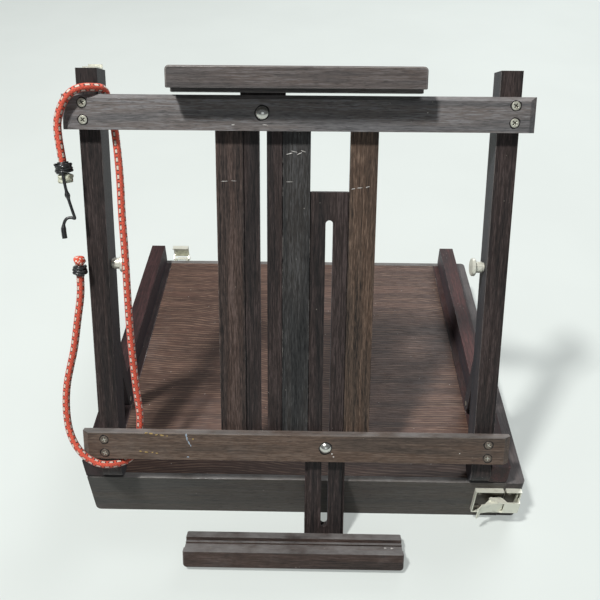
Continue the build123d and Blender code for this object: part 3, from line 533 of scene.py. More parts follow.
def end_knob(name, start, direction, radius, length, profile, material):
    """The cord's bulged end beyond its winding: a rounded lump, slightly uneven."""
    line = smooth_line([(share, reach, 0) for share, reach in profile], 4)
    shape = bmesh.new()
    uv = shape.loops.layers.uv.new("UVMap")
    made = []
    for share, reach, _ in line:
        ring = []
        for angle, out in spokes(direction, KNOB_SIDES):
            lump = 1.0 + 0.08 * math.sin(3 * angle + 9 * share) + 0.03 * math.sin(7 * angle)
            lump += 0.04 * math.sin(BRAID_STRANDS * angle + 14 * share)
            along = start + direction * length * share
            ring.append(shape.verts.new(along + out * radius * reach * lump / KNOB_WIDEST))
        made.append(ring)
    skin(shape, uv, made, [share * length for share, _, _ in line])
    return new_piece(name, finished(shape, name), material)


def make_bungee():
    route = [on_frame(*point) for point in CORD_ROUTE]
    line = evenly(smooth_line(route, ROUTE_RESOLUTION), CORD_STEP * MM)
    radius = CORD_DIAMETER / 2 * MM
    braid = braid_material("bungee_braid", CORD_RED)
    wire = black_wire_material()
    rubber = rubber_end_material()
    cord_mesh = tube_mesh("cord", line, radius, CORD_SIDES, braid_relief)
    cord = new_piece("bungee_braided_cord", cord_mesh, braid)
    pieces = []
    ends = (
        (route[0], route[1], HOOK_WRAP_RADIUS, 4, "bungee_hook_end", HOOK_KNOB_RADIUS, CUT_KNOB,
         rubber),
        (route[-1], route[-2], FAR_WRAP_RADIUS, 3, "bungee_far_end", FAR_KNOB_RADIUS, FRAYED_KNOB,
         frayed_end_material()),
    )
    for end, neighbour, outside, turns, name, knob_radius, profile, knob_material in ends:
        out = (end - neighbour).normalized()
        coil = wire_tangle(end + out * WIRE_RADIUS * MM, out, turns, (outside - WIRE_RADIUS) * MM,
                           (WRAP_LENGTH - 2 * WIRE_RADIUS) * MM)
        winding_mesh = tube_mesh("winding", coil, WIRE_RADIUS * MM, WIRE_SIDES)
        winding = new_piece(name + "_winding", winding_mesh, wire)
        stub = [end - out * STUB_INSIDE * MM + out * WRAP_LENGTH * MM * k / STUB_STEPS
                for k in range(STUB_STEPS + 1)]
        core_radius = (outside - 2 * WIRE_RADIUS) * MM
        core_mesh = tube_mesh("core", stub, core_radius, CORD_SIDES, braid_relief)
        core = new_piece(name + "_core", core_mesh, wire)
        knob = end_knob(name + "_knob", end + out * WRAP_LENGTH * MM, out, knob_radius * MM,
                        KNOB_LENGTH * MM, profile, knob_material)
        pieces += [winding, core, knob]
    hook_route = [on_frame(*point) for point in HOOK_ROUTE]
    hook_line = evenly(smooth_line(hook_route, ROUTE_RESOLUTION), HOOK_STEP * MM)
    hook_mesh = tube_mesh("hook", hook_line, hook_radius, HOOK_SIDES)
    hook = new_piece("bungee_wire_hook", hook_mesh, wire)
    pieces.append(hook)
    for piece in (cord, *pieces):
        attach(piece, "easel_frame")
    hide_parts("bungee_cord")
    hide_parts("bungee_far_wrap")
    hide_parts("bungee_hook")
    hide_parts("bungee_end_knobs")
    tuple(line[0])
    [tuple(p) for p in line]


def hook_radius(share):
    """The hook's wire, with a small bump part way down its stem and a thicker coated tip."""
    bump = HOOK_BUMP * math.exp(-((share - HOOK_BUMP_AT) / HOOK_BUMP_SPREAD) ** 2)
    tip = HOOK_TIP_EXTRA * min(1.0, max(0.0, (share - HOOK_TIP_FROM) / HOOK_TIP_STEP))
    return (WIRE_RADIUS + bump + tip) * MM


def frayed_end_material():
    """The folded cord end, its pale and black yarns pushed out of their rows."""
    shader = Shader("bungee_frayed_end")
    place = shader.place()
    tangle = shader.noise(place, 700.0, 3.0)
    pale = shader.spots(place, 430.0, 0.34)
    shifted = shader.turned(place, location=(0.31, 0.17, 0.23))
    dark = shader.spots(shifted, 520.0, 0.22)
    colour = shader.mix(tangle, scaled(CORD_RED, 0.7), CORD_RED)
    colour = shader.mix(dark, colour, DASH_BLACK)
    shader.connect("Base Color", shader.mix(pale, colour, DASH_WHITE))
    shader.set(Roughness=0.7)
    shader.connect("Normal", shader.bump(tangle, 0.0003, 0.7))
    return shader.material


def rubber_end_material():
    shader = Shader("bungee_rubber_end")
    place = shader.place()
    mottle = shader.between(shader.noise(place, 500.0, 4.0), 0.45, 0.75)
    shader.connect("Base Color", shader.mix(mottle, (0.74, 0.76, 0.60), (0.34, 0.32, 0.22)))
    shader.set(Roughness=0.7)
    shader.connect("Normal", shader.bump(mottle, 0.0002, 0.6))
    return shader.material


make_bungee()


# ---- wood ----


# The rubbed arrises' pale tone, which is also a painted highlight along them.
WORN_TAN_AND_HIGHLIGHT = (0.42, 0.39, 0.36)
# A pale grey laid in clouds: dust, and on upward faces also painted light.
DUST_AND_TOP_LIGHT = (0.26, 0.255, 0.25)
SHEEN_TINT = (0.72, 0.84, 1.0, 1.0)


def grain_space(shader, along, seed):
    """Object coordinates turned so that X runs along the grain."""
    place = shader.place()
    if along in ("up", "across"):
        place = shader.turned(place, rotation=(LEAN, 0, 0))
    if along in ("up", "z"):
        place = shader.turned(place, rotation=(0, math.radians(90), 0))
    elif along == "y":
        place = shader.turned(place, rotation=(0, 0, math.radians(90)))
    return shader.turned(place, location=(seed * 1.37, seed * 0.71, seed * 2.13))


def stained_wood(name, tone, along, seed, figure, pale_haze, wear_and_highlight):
    """Dark stained hardwood: bands, streaks, open pores, dust and painted light that pale its upward
    faces, and worn arrises that also carry a painted highlight.
    """
    shader = Shader(name)
    place = shader.place()
    grain = grain_space(shader, along, seed)
    bands = shader.streaky(grain, (4.0, 75.0, 75.0), detail=2.0, distortion=0.4)
    streaks = shader.streaky(grain, (20.0, 640.0, 640.0), detail=4.0, roughness=0.65)
    fibres = shader.streaky(grain, (110.0, 1600.0, 1600.0), detail=3.0, roughness=0.6)
    pores = shader.streaky(grain, (130.0, 1700.0, 1700.0), detail=1.0)
    pore = shader.between(pores, 0.57, 0.66)
    level = shader.times(shader.between(bands, 0.34, 0.66), 0.28)
    level = shader.times_plus(shader.between(streaks, 0.36, 0.64), 0.34, level)
    level = shader.times_plus(shader.between(fibres, 0.34, 0.66), 0.38, level)
    warm = (tone[0] * 1.10, tone[1] * 0.97, tone[2] * 0.88)
    body = shader.mix(shader.between(bands, 0.40, 0.60), tone, warm)
    low = shader.mix(shader.between(level, 0.10, 0.50), scaled(tone, max(0.12, 1 - 0.8 * figure)), body)
    colour = shader.mix(shader.between(level, 0.50, 0.90), low, scaled(tone, 1 + 1.25 * figure))
    colour = shader.mix(shader.times(pore, 0.5), colour, scaled(tone, 0.25))
    cloud = shader.noise(place, 26.0, 5.0, 0.66)
    # Upward faces are painted paler in clouds: partly dust, partly painted light for the brighter light
    # they catch.
    top_light_and_dust = shader.times(shader.between(shader.facing(UP), 0.45, 0.9), pale_haze)
    top_light_and_dust = shader.times(top_light_and_dust, shader.between(cloud, 0.25, 0.6))
    dust_and_top_light_mask = shader.times_plus(shader.between(cloud, 0.52, 0.74), 0.22 * pale_haze, top_light_and_dust)
    dust_and_top_light_mask = shader.times(dust_and_top_light_mask, shader.spread(fibres, 0.4, 1.5))
    colour = shader.mix(dust_and_top_light_mask, colour, DUST_AND_TOP_LIGHT)
    gate = shader.between(shader.noise(place, 45.0, 2.0), 0.58, 0.68)
    speck = shader.times(shader.spots(place, 170.0, 0.07), gate)
    colour = shader.mix(shader.times(speck, 0.75), colour, (0.46, 0.43, 0.38))
    # The rounded arrises are painted paler in patches: partly rubbed wear, partly a painted highlight
    # where the lamp catches them.
    worn = shader.attribute("worn")
    rubbed_and_highlight = shader.noise(place, 60.0, 4.0, 0.66)
    rubbed_and_highlight = shader.times(worn, shader.between(rubbed_and_highlight, 0.60 - 0.3 * wear_and_highlight, 0.74 - 0.3 * wear_and_highlight))
    colour = shader.mix(shader.times(rubbed_and_highlight, 0.85), colour, WORN_TAN_AND_HIGHLIGHT)
    shader.connect("Base Color", colour)
    uneven = shader.times_plus(level, 0.5, shader.times(fibres, 0.5))
    rough = shader.spread(uneven, 0.5, 0.68)
    shader.connect("Roughness", shader.times_plus(worn, -0.26, rough))
    height = shader.math("SUBTRACT", shader.times_plus(streaks, 0.5, fibres), pore)
    shader.connect("Normal", shader.bump(height, 0.0002, 0.35))
    shader.connect("Coat Weight", shader.times(worn, 0.9))
    shader.set(Specular_IOR_Level=0.35, Coat_Roughness=0.2)
    shader.set(Sheen_Weight=0.06, Sheen_Roughness=0.5, Sheen_Tint=SHEEN_TINT)
    return shader.material


def veneer(name, tone, light_tone, seed):
    """Open-grained veneer: wavy cathedral lines across the board under a brown-red stain."""
    shader = Shader(name)
    object_place = shader.place()
    place = shader.turned(object_place, location=(seed, seed * 0.3, 0))
    bend = shader.streaky(place, (2.6, 2.0, 1.0), detail=2.0)
    lines = shader.times_plus(bend, 0.13, shader.axis(place, "Y"))
    ripple = shader.streaky(place, (16.0, 60.0, 1.0), detail=3.0)
    lines = shader.times_plus(ripple, 0.007, lines)
    rings = shader.math("PINGPONG", shader.times(lines, 290.0), 0.5)
    ring_line = shader.between(rings, 0.22, 0.46)
    fibres = shader.streaky(place, (30.0, 1000.0, 1000.0), detail=3.0, roughness=0.65)
    dashes = shader.streaky(place, (26.0, 430.0, 430.0), detail=3.0, roughness=0.6)
    catch = shader.times(ring_line, shader.between(dashes, 0.36, 0.62))
    patches = shader.noise(object_place, 8.0, 4.0, 0.6)
    streaks = shader.streaky(place, (7.0, 120.0, 120.0), detail=3.0)
    colour = shader.mix(shader.between(patches, 0.3, 0.7), scaled(tone, 0.62), scaled(tone, 1.2))
    colour = shader.mix(shader.between(streaks, 0.35, 0.65), scaled(tone, 0.45), colour)
    colour = shader.mix(shader.spread(fibres, 0.0, 0.75), colour, scaled(tone, 0.5))
    colour = shader.mix(shader.times(catch, 0.42), colour, light_tone)
    pores = shader.streaky(place, (60.0, 1700.0, 1700.0), detail=1.0)
    pore = shader.between(pores, 0.56, 0.64)
    colour = shader.mix(shader.times(pore, 0.6), colour, scaled(tone, 0.22))
    pale_haze = shader.between(shader.noise(object_place, 14.0, 5.0, 0.65), 0.5, 0.75)
    colour = shader.mix(shader.times(pale_haze, 0.22), colour, (0.20, 0.16, 0.15))
    specks = shader.spots(object_place, 95.0, 0.05)
    colour = shader.mix(shader.times(specks, 0.6), colour, (0.45, 0.42, 0.38))
    shader.connect("Base Color", colour)
    shader.connect("Roughness", shader.spread(fibres, 0.42, 0.62))
    height = shader.math("SUBTRACT", shader.times_plus(catch, 0.6, fibres), pore)
    shader.connect("Normal", shader.bump(height, 0.00025, 0.35))
    shader.set(Specular_IOR_Level=0.42)
    return shader.material


def plain_wood(name, tone, along, seed):
    """Unfinished beech inside the drawer: pale, with short flecks."""
    shader = Shader(name)
    grain = grain_space(shader, along, seed)
    bands = shader.streaky(grain, (4.0, 70.0, 70.0), detail=3.0, distortion=0.4)
    fibres = shader.streaky(grain, (60.0, 1400.0, 1400.0), detail=2.0)
    flecks = shader.streaky(grain, (160.0, 900.0, 900.0), detail=1.0)
    flecks = shader.between(flecks, 0.6, 0.68)
    colour = shader.mix(bands, scaled(tone, 0.82), scaled(tone, 1.12))
    colour = shader.mix(shader.spread(fibres, 0.0, 0.5), colour, scaled(tone, 0.8))
    colour = shader.mix(shader.times(flecks, 0.55), colour, scaled(tone, 0.55))
    stains = shader.between(shader.noise(shader.place(), 16.0, 4.0), 0.58, 0.72)
    colour = shader.mix(shader.times(stains, 0.35), colour, (0.12, 0.10, 0.11))
    shader.connect("Base Color", colour)
    shader.connect("Roughness", shader.spread(fibres, 0.5, 0.7))
    shader.connect("Normal", shader.bump(fibres, 0.0001, 0.3))
    return shader.material


# Faces closer than FLAT_DEG are one flat face, and an edge over SHARP_DEG is an arris.
FLAT_DEG = 0.6
SHARP_DEG = 32


def worn_copy(node, width, material, body):
    """A wooden CAD piece with its arrises rounded; the rounded faces are marked as worn."""
    shape = bmesh.new()
    shape.from_mesh(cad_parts[node].data)
    bmesh.ops.remove_doubles(shape, verts=shape.verts, dist=2e-6)
    bmesh.ops.dissolve_limit(shape, angle_limit=math.radians(FLAT_DEG), verts=shape.verts,
                             edges=shape.edges)
    worn = shape.faces.layers.float.new("worn")
    sharp = [edge for edge in shape.edges
             if len(edge.link_faces) == 2 and edge.calc_face_angle() > math.radians(SHARP_DEG)]
    made = bmesh.ops.bevel(shape, geom=sharp, offset=width * MM, segments=2, profile=0.5,
                           affect="EDGES", clamp_overlap=True)
    for face in made["faces"]:
        face[worn] = 1.0
    for face in shape.faces:
        face.smooth = face[worn] > 0.5
    piece = new_piece(node + "_wood", finished(shape, node + "_worn"), material, smooth=False)
    stand_in(piece, node, body)


# The stains. Pieces of a like colour share one.
# The upper bar's pale grey-blue is partly dust and partly painted sheen: the lamp's glossy reflection on
# its lit face, laid into its colour.
SHEEN_AND_DUST_GREY = (0.15, 0.147, 0.15)
CLAMP_GREY = (0.10, 0.09, 0.088)
WALL_GREY = (0.085, 0.078, 0.07)
BAR_BROWN = (0.10, 0.074, 0.058)
TAN_BROWN = (0.08, 0.055, 0.04)
SLAT_BROWN = (0.05, 0.035, 0.03)
EDGE_BROWN = (0.05, 0.04, 0.04)
SLAT_GREY = (0.03, 0.03, 0.03)
BROWN_BLACK = (0.025, 0.018, 0.017)
MAHOGANY = (0.04, 0.015, 0.014)
DARK_RED = (0.025, 0.01, 0.01)

# Each wooden piece: its body, stain, the way its grain runs, how far its arrises are rounded,
# how strong its figure is, the dust and painted light on its upper faces and how worn its arrises are,
# with their painted highlight.
WOOD_PIECES = (
    ("front_wall", "box", WALL_GREY, "x", 0.7, 0.35, 0.5, 0.5),
    ("back_wall", "box", WALL_GREY, "x", 0.7, 0.35, 0.5, 0.5),
    ("left_wall", "box", EDGE_BROWN, "y", 0.7, 0.6, 0.3, 0.4),
    ("left_top_member", "box", MAHOGANY, "y", 0.3, 0.8, 0.1, 0.3),
    ("right_top_member", "box", MAHOGANY, "y", 0.3, 0.8, 0.1, 0.3),
    ("left_rail", "box", DARK_RED, "y", 0.7, 1.0, 0.0, 0.3),
    ("right_rail", "box", MAHOGANY, "y", 0.7, 1.0, 0.0, 0.3),
    ("frame_latch_block", "box", EDGE_BROWN, "z", 0.6, 0.6, 0.3, 0.3),
    ("drawer_front", "drawer", EDGE_BROWN, "y", 0.8, 0.6, 0.2, 0.4),
    ("left_post", "easel_frame", BROWN_BLACK, "up", 0.8, 1.5, 0.2, 0.4),
    ("right_post", "easel_frame", BROWN_BLACK, "up", 0.8, 1.5, 0.2, 1.0),
    ("lower_bar", "easel_frame", BAR_BROWN, "across", 0.9, 0.6, 0.5, 0.9),
    ("upper_bar", "easel_frame", SHEEN_AND_DUST_GREY, "across", 1.6, 0.5, 0.5, 0.9),
    ("left_slat", "easel_frame", SLAT_BROWN, "up", 0.5, 1.4, 0.1, 0.3),
    ("middle_slat", "easel_frame", SLAT_GREY, "up", 0.5, 1.4, 0.1, 0.3),
    ("right_slat", "easel_frame", TAN_BROWN, "up", 0.5, 1.3, 0.1, 0.3),
    ("upper_mast", "upper_mast", BROWN_BLACK, "up", 0.5, 1.5, 0.1, 0.3),
    ("canvas_clamp", "upper_mast", CLAMP_GREY, "across", 1.0, 0.5, 0.3, 0.9),
    ("lower_mast", "lower_mast", BROWN_BLACK, "up", 0.5, 1.5, 0.1, 0.3),
    ("canvas_tray", "lower_mast", SLAT_BROWN, "across", 0.6, 0.9, 0.65, 0.9),
    ("left_strut", "left_strut", BROWN_BLACK, "z", 0.5, 0.9, 0.1, 0.3),
    ("right_strut", "right_strut", BROWN_BLACK, "z", 0.5, 0.9, 0.1, 0.3),
)
PLAIN_PIECES = (
    ("bottom_panel", "box", "x"),
    ("drawer_runners", "box", "x"),
    ("drawer_stop", "box", "y"),
    ("drawer_near_side", "drawer", "x"),
    ("drawer_far_side", "drawer", "x"),
    ("drawer_end", "drawer", "y"),
    ("drawer_floor", "drawer", "x"),
    ("drawer_dividers", "drawer", "x"),
)
PANEL_ARRIS = 0.3
PLAIN_ARRIS = 0.35
BEECH = (0.50, 0.35, 0.22)
VENEER_TONE = (0.125, 0.068, 0.05)
VENEER_LIGHT = (0.36, 0.24, 0.17)


def make_wood():
    for seed, (node, body, tone, along, width, figure, pale_haze, wear_and_highlight) in enumerate(WOOD_PIECES, start=1):
        material = stained_wood(node + "_stain", tone, along, seed, figure, pale_haze, wear_and_highlight)
        worn_copy(node, width, material, body)
    board = veneer("board_veneer", VENEER_TONE, VENEER_LIGHT, 3.0)
    worn_copy("top_panel", PANEL_ARRIS, board, "box")
    for seed, (node, body, along) in enumerate(PLAIN_PIECES, start=40):
        worn_copy(node, PLAIN_ARRIS, plain_wood(node + "_beech", BEECH, along, seed), body)


make_wood()


# ---- metal ----


PAN_FLOOR_Y = -179.7 * MM
GRIME_TOP = 200 * MM
CLEAN_FROM = 260 * MM
TARNISH = (0.30, 0.26, 0.20)
NICKEL = (0.90, 0.90, 0.78)
LOW_GRIME = (0.19, 0.16, 0.13)
RUBBED_CROSS = (0.66, 0.66, 0.58)
RECESS_DARK = (0.030, 0.024, 0.018)


def plate(name, tone, roughness, tarnish=0.25, metallic=0.75):
    """Nickel or zinc plate: fine scratches, cloudy patches and a little tarnish. Returns the
    shader and its colour, which isn't connected yet."""
    shader = Shader(name)
    place = shader.place()
    cloud = shader.noise(place, 120.0, 4.0, 0.6)
    brushed = shader.turned(place, rotation=(0.3, 0.5, 0.2), scale=(60.0, 2200.0, 900.0))
    scratch = shader.noise(brushed, detail=2.0)
    dull = shader.times(shader.between(cloud, 0.52, 0.72), tarnish)
    colour = shader.mix(shader.spread(scratch, 0.0, 0.35), tone, scaled(tone, 0.8))
    colour = shader.mix(dull, colour, TARNISH)
    # Darker in the cross recess of a screw's head.
    colour = shader.mix(shader.times(shader.attribute("recess"), 0.9), colour, RECESS_DARK)
    gloss = shader.times_plus(scratch, 0.5, shader.times(cloud, 0.5))
    shader.connect("Roughness", shader.spread(gloss, roughness * 0.6, roughness * 1.4))
    shader.connect("Normal", shader.bump(scratch, 0.00003, 0.35))
    shader.set(Metallic=metallic)
    return shader, colour


def plated_metal(*values, **more):
    shader, colour = plate(*values, **more)
    shader.connect("Base Color", colour)
    return shader.material


def screw_steel(name, tone):
    """Zinc plate; low on the frame the heads are brown with grime and only the cross is bright."""
    shader, colour = plate(name, tone, 0.38, tarnish=0.7, metallic=0.5)
    clean = shader.between(shader.axis(shader.place(), "Z"), GRIME_TOP, CLEAN_FROM)
    low = shader.mix(shader.attribute("recess"), LOW_GRIME, RUBBED_CROSS)
    shader.connect("Base Color", shader.mix(clean, low, colour))
    return shader.material


def pan_metal(name, tone):
    """The same plate, dull and dark on the pan's floor."""
    shader, colour = plate(name, tone, 0.36, metallic=0.4)
    place = shader.place()
    floor = shader.between(shader.axis(place, "Y"), PAN_FLOOR_Y - 0.3 * MM, PAN_FLOOR_Y - 0.1 * MM)
    floor = shader.times(floor, shader.between(shader.facing((0, -1, 0)), 0.4, 0.6))
    cloud = shader.noise(place, 260.0, 3.0)
    pan_floor_tone = shader.mix(cloud, (0.030, 0.022, 0.016), (0.085, 0.068, 0.050))
    shader.connect("Base Color", shader.mix(floor, colour, pan_floor_tone))
    return shader.material


NICKEL_NODES = (
    "frame_latch_base", "drawer_latch_lever", "drawer_latch_claw", "frame_latch_lever",
    "frame_latch_claw", "latch_keeper",
    "left_thumb_screw", "right_thumb_screw", "upper_wing_nut", "lower_wing_nut", "latch_pins",
)
STEEL_NODES = ("pivot_pins", "pivot_washers", "bolt_washers")

# Nodes of countersunk screws: the body that carries them, the way their heads face, the head's
# radius and the screw's length.
SCREW_NODES = (
    ("bar_screws", "easel_frame", FRONT, 3.5, 18.0),
    ("slat_screws", "easel_frame", -FRONT, 3.0, 14.0),
    ("latch_screws", "box", Vector((0, -1, 0)), 2.5, 8.0),
    ("drawer_catch_screws", "drawer", Vector((0, -1, 0)), 2.3, 8.0),
)


def dress(nodes, material):
    """Gives CAD nodes that keep their own mesh a material."""
    for node in nodes:
        mesh_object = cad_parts[node]
        for index in range(len(mesh_object.data.materials)):
            mesh_object.data.materials[index] = material
        if not mesh_object.data.materials:
            mesh_object.data.materials.append(material)


def loose_parts(node):
    """The vertex positions of each separate solid in a CAD node's mesh."""
    shape = bmesh.new()
    shape.from_mesh(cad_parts[node].data)
    bmesh.ops.remove_doubles(shape, verts=shape.verts, dist=1e-6)
    unseen = set(shape.verts)
    parts = []
    for first in list(shape.verts):
        if first not in unseen:
            continue
        unseen.discard(first)
        waiting = [first]
        part = []
        while waiting:
            vertex = waiting.pop()
            part.append(vertex.co.copy())
            for edge in vertex.link_edges:
                other = edge.other_vert(vertex)
                if other in unseen:
                    unseen.discard(other)
                    waiting.append(other)
        parts.append(part)
    shape.free()
    return parts


CROSS_HALF_WIDTH = 0.15
CROSS_REACH = 0.62
CROSS_DEPTH = 0.9
HEAD_DOME = 0.35
HEAD_RINGS = 16
HEAD_SIDES = 48
SHANK_SHARE = 0.5


def cross_depth(x, y, radius):
    """How deep the cross recess is at a point of a screw's head, from 0 to 1."""
    half = CROSS_HALF_WIDTH * radius
    reach = CROSS_REACH * radius
    deepest = 0.0
    for across_arm, along_arm in ((x, y), (y, x)):
        inside = min(half - abs(across_arm), reach - abs(along_arm))
        deepest = max(deepest, min(1.0, inside / (0.35 * half)))
    return deepest


def add_screw(shape, recess, top, axis, radius, length, turn):
    """One countersunk screw with a cross recess, its head's rim at top and facing along axis."""
    profile = []
    for k in range(1, HEAD_RINGS + 1):
        share = k / HEAD_RINGS
        profile.append((share * radius, HEAD_DOME * (1 - share * share), True))
    profile += [(radius, -0.25, False), (radius * SHANK_SHARE, -radius * SHANK_SHARE, False),
                (radius * SHANK_SHARE, -length, False)]
    rings = []
    for reach, height, cut in profile:
        ring = []
        for angle, out in spokes(axis, HEAD_SIDES):
            depth = 0.0
            if cut:
                x, y = reach * math.cos(angle - turn), reach * math.sin(angle - turn)
                depth = cross_depth(x, y, radius)
            vertex = shape.verts.new(top + (out * reach + axis * (height - depth * CROSS_DEPTH)) * MM)
            vertex[recess] = depth
            ring.append(vertex)
        rings.append(ring)
    centre = shape.verts.new(top + axis * (HEAD_DOME - CROSS_DEPTH) * MM)
    centre[recess] = 1.0
    for k in range(HEAD_SIDES):
        shape.faces.new((centre, rings[0][k], rings[0][(k + 1) % HEAD_SIDES]))
    for inner, outer in zip(rings, rings[1:]):
        join_rings(shape, inner, outer)
    shape.faces.new(list(reversed(rings[-1])))


SHADE_RING_WIDTH = 0.9
SHADE_RING_RISE = 0.1
SHADE_RING_SINK = 0.3


def add_shade_ring(shape, top, axis, radius, chance):
    """A thin ring of painted shade round a screw's head, slightly uneven in width."""
    rings = ([], [], [], [])
    heights = (-SHADE_RING_SINK, SHADE_RING_RISE, SHADE_RING_RISE, -SHADE_RING_SINK)
    for angle, out in spokes(axis, HEAD_SIDES):
        uneven = 0.3 * math.sin(2 * angle + chance * 6) + 0.2 * math.sin(5 * angle)
        wide = radius + SHADE_RING_WIDTH * (1.0 + uneven)
        for ring, reach, height in zip(rings, (radius - 0.1, radius, wide, wide + 0.1), heights):
            ring.append(shape.verts.new(top + (out * reach + axis * height) * MM))
    for inner, outer in zip(rings, rings[1:] + rings[:1]):
        join_rings(shape, inner, outer)


BOLT_PLACES = ((-38.3, 309.9), (18.3, 13.5))
BOLT_RADIUS = 5.3
HEAD_SUNK = 0.15
BAR_SCREW_PROUD = 0.4


def make_screws(steel):
    chance = random.Random(5)
    shade_ring_shape = bmesh.new()
    for node, body, facing, radius, length in SCREW_NODES:
        shape = bmesh.new()
        recess = shape.verts.layers.float.new("recess")
        for part in loose_parts(node):
            middle = sum(part, Vector()) / len(part)
            axis = facing
            if node == "latch_screws" and middle.y > 0:
                axis = -facing
            rise = max((point - middle).dot(axis) for point in part)
            head = [point for point in part if (point - middle).dot(axis) > rise - 1e-4]
            top = sum(head, Vector()) / len(head)
            add_screw(shape, recess, top - axis * HEAD_SUNK * MM, axis, radius, length,
                      chance.uniform(0, math.pi))
            if node == "bar_screws":
                wood_face = top - axis * BAR_SCREW_PROUD * MM
                add_shade_ring(shade_ring_shape, wood_face, axis, radius, chance.random())
        piece = new_piece(node + "_cross_head", finished(shape, node), steel)
        stand_in(piece, node, body)
    # Each mast bolt's head gets a ring of painted shade too.
    for x, height in BOLT_PLACES:
        place = on_frame(x, height, BAR_THICK)
        add_shade_ring(shade_ring_shape, place, FRONT, BOLT_RADIUS, chance.random())
    # The rings' near-black, mottled a little, is painted shade.
    shader = Shader("screw_shade")
    mottle = shader.noise(shader.place(), 900.0, 3.0)
    shader.connect("Base Color", shader.mix(mottle, (0.005, 0.004, 0.004), (0.014, 0.011, 0.010)))
    shader.set(Roughness=0.8)
    shader.connect("Normal", shader.bump(mottle, 0.00005, 0.5))
    ring = new_piece("screw_shade_rings", finished(shade_ring_shape, "screw_shade"), shader.material)
    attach(ring, "easel_frame")


def make_hardware():
    dress(NICKEL_NODES, plated_metal("nickel_plate", NICKEL, 0.36, metallic=0.4))
    dress(("drawer_latch_base", "drawer_latch_catch"), pan_metal("nickel_pan", NICKEL))
    steel = plated_metal("zinc_steel", (0.56, 0.56, 0.46), 0.38, tarnish=0.85, metallic=0.5)
    dress(STEEL_NODES, steel)
    dress(("mast_bolts",), plated_metal("bolt_steel", (0.66, 0.66, 0.62), 0.24, metallic=0.9))
    dress(("canvas_clamp_screws", "canvas_tray_screws"), steel)
    dress(("thumb_screw_inserts",), plated_metal("turned_brass", (0.66, 0.48, 0.22), 0.3))
    make_screws(screw_steel("screw_steel", (0.62, 0.62, 0.52)))


make_hardware()


# ---- paint and scratches ----

YELLOW = (0.52, 0.36, 0.12)
WHITE = (0.78, 0.76, 0.72)
PALE_BLUE = (0.42, 0.52, 0.62)

# Groups of marks: their body, the face they lie on (front or top) and its level, their paint,
# and for each its place on the face, its length, width and tilt in degrees. A place on a front
# face is X and height, and on a top face X and the distance in front.
TRAY_FLOOR = -85.0
MARKS = (
    ("easel_frame", "front", BAR_THICK, YELLOW, (
        (-146.0, 26.2, 3.6, 1.5, 10), (-141.6, 25.6, 4.4, 1.8, -8), (-136.5, 24.7, 3.2, 1.4, 15),
        (-131.5, 24.2, 5.2, 1.6, -10), (-126.8, 23.4, 2.0, 1.6, 0), (-152.0, 8.0, 3.4, 1.5, -12),
        (-146.5, 7.2, 4.4, 1.6, -8), (-141.0, 7.0, 2.4, 1.3, 30), (-137.0, 6.2, 2.6, 1.4, 0),
        (-103.1, 20.9, 2.2, 2.0, 0))),
    ("easel_frame", "front", BAR_THICK, PALE_BLUE, (
        (-109.3, 24.6, 4.0, 2.2, 90), (-108.6, 21.0, 5.0, 1.8, 95), (-107.0, 17.2, 4.6, 1.5, 112),
        (-105.4, 14.4, 2.6, 1.2, 100), (-108.2, 2.9, 3.0, 1.5, 0))),
    ("easel_frame", "front", BAR_THICK, WHITE, (
        (24.4, 8.1, 1.9, 1.6, 0), (25.8, 5.1, 2.1, 1.5, 30), (141.0, 10.4, 1.6, 1.1, 0),
        (-62.0, 300.2, 4.0, 0.9, 4), (-36.0, 300.4, 5.0, 0.8, -3), (96.0, 311.0, 1.3, 0.9, 0))),
    ("easel_frame", "front", 0.0, WHITE, (
        (-16.0, 277.2, 6.5, 0.8, 14), (-12.4, 279.0, 7.0, 0.7, -12), (-7.5, 277.4, 5.5, 0.8, 24),
        (-4.4, 279.2, 5.0, 0.7, -18), (-71.0, 254.0, 7.0, 0.6, 2), (-63.0, 254.3, 5.0, 0.5, -3),
        (-15.5, 254.0, 8.0, 0.5, 1), (38.0, 248.6, 4.2, 0.9, 12), (43.5, 249.4, 5.4, 0.8, 4),
        (50.0, 250.2, 4.0, 0.9, 16))),
    ("lower_mast", "top", TRAY_FLOOR, YELLOW, (
        (-97.5, 19.6, 4.0, 1.8, 0), (-92.8, 21.2, 4.4, 2.0, 12), (-88.2, 19.4, 4.0, 1.8, -10),
        (-83.5, 21.4, 4.6, 2.0, 6), (-79.0, 20.0, 3.4, 1.8, 0), (-74.6, 21.0, 3.8, 1.6, -14))),
    ("lower_mast", "top", TRAY_FLOOR, WHITE, (
        (43.5, 20.8, 3.4, 1.6, 0), (50.5, 21.6, 5.0, 1.4, 5), (58.0, 20.4, 3.0, 1.6, -8),
        (66.5, 21.4, 4.6, 1.5, 4), (76.0, 14.6, 2.8, 2.0, 0), (82.4, 15.0, 3.6, 1.8, 0),
        (5.0, 20.6, 2.2, 2.0, 0))),
)
PAINT_RISE = 0.16
MARK_SIDES = 14


def add_mark(shape, chance, middle, along, across_way, out, length, width):
    """A low dried blob of paint with an uneven edge, lying on a face."""
    base = []
    crown = []
    for k in range(MARK_SIDES):
        angle = 2 * math.pi * k / MARK_SIDES
        uneven = chance.uniform(0.72, 1.12)
        spot = along * math.cos(angle) * length / 2 + across_way * math.sin(angle) * width / 2
        base.append(shape.verts.new(middle + (spot * uneven - out * 0.15) * MM))
        crown.append(shape.verts.new(middle + (spot * uneven * 0.72 + out * PAINT_RISE) * MM))
    top = shape.verts.new(middle + out * PAINT_RISE * 1.3 * MM)
    for k in range(MARK_SIDES):
        after = (k + 1) % MARK_SIDES
        shape.faces.new((base[k], base[after], crown[after], crown[k]))
        shape.faces.new((crown[k], crown[after], top))
    shape.faces.new(list(reversed(base)))


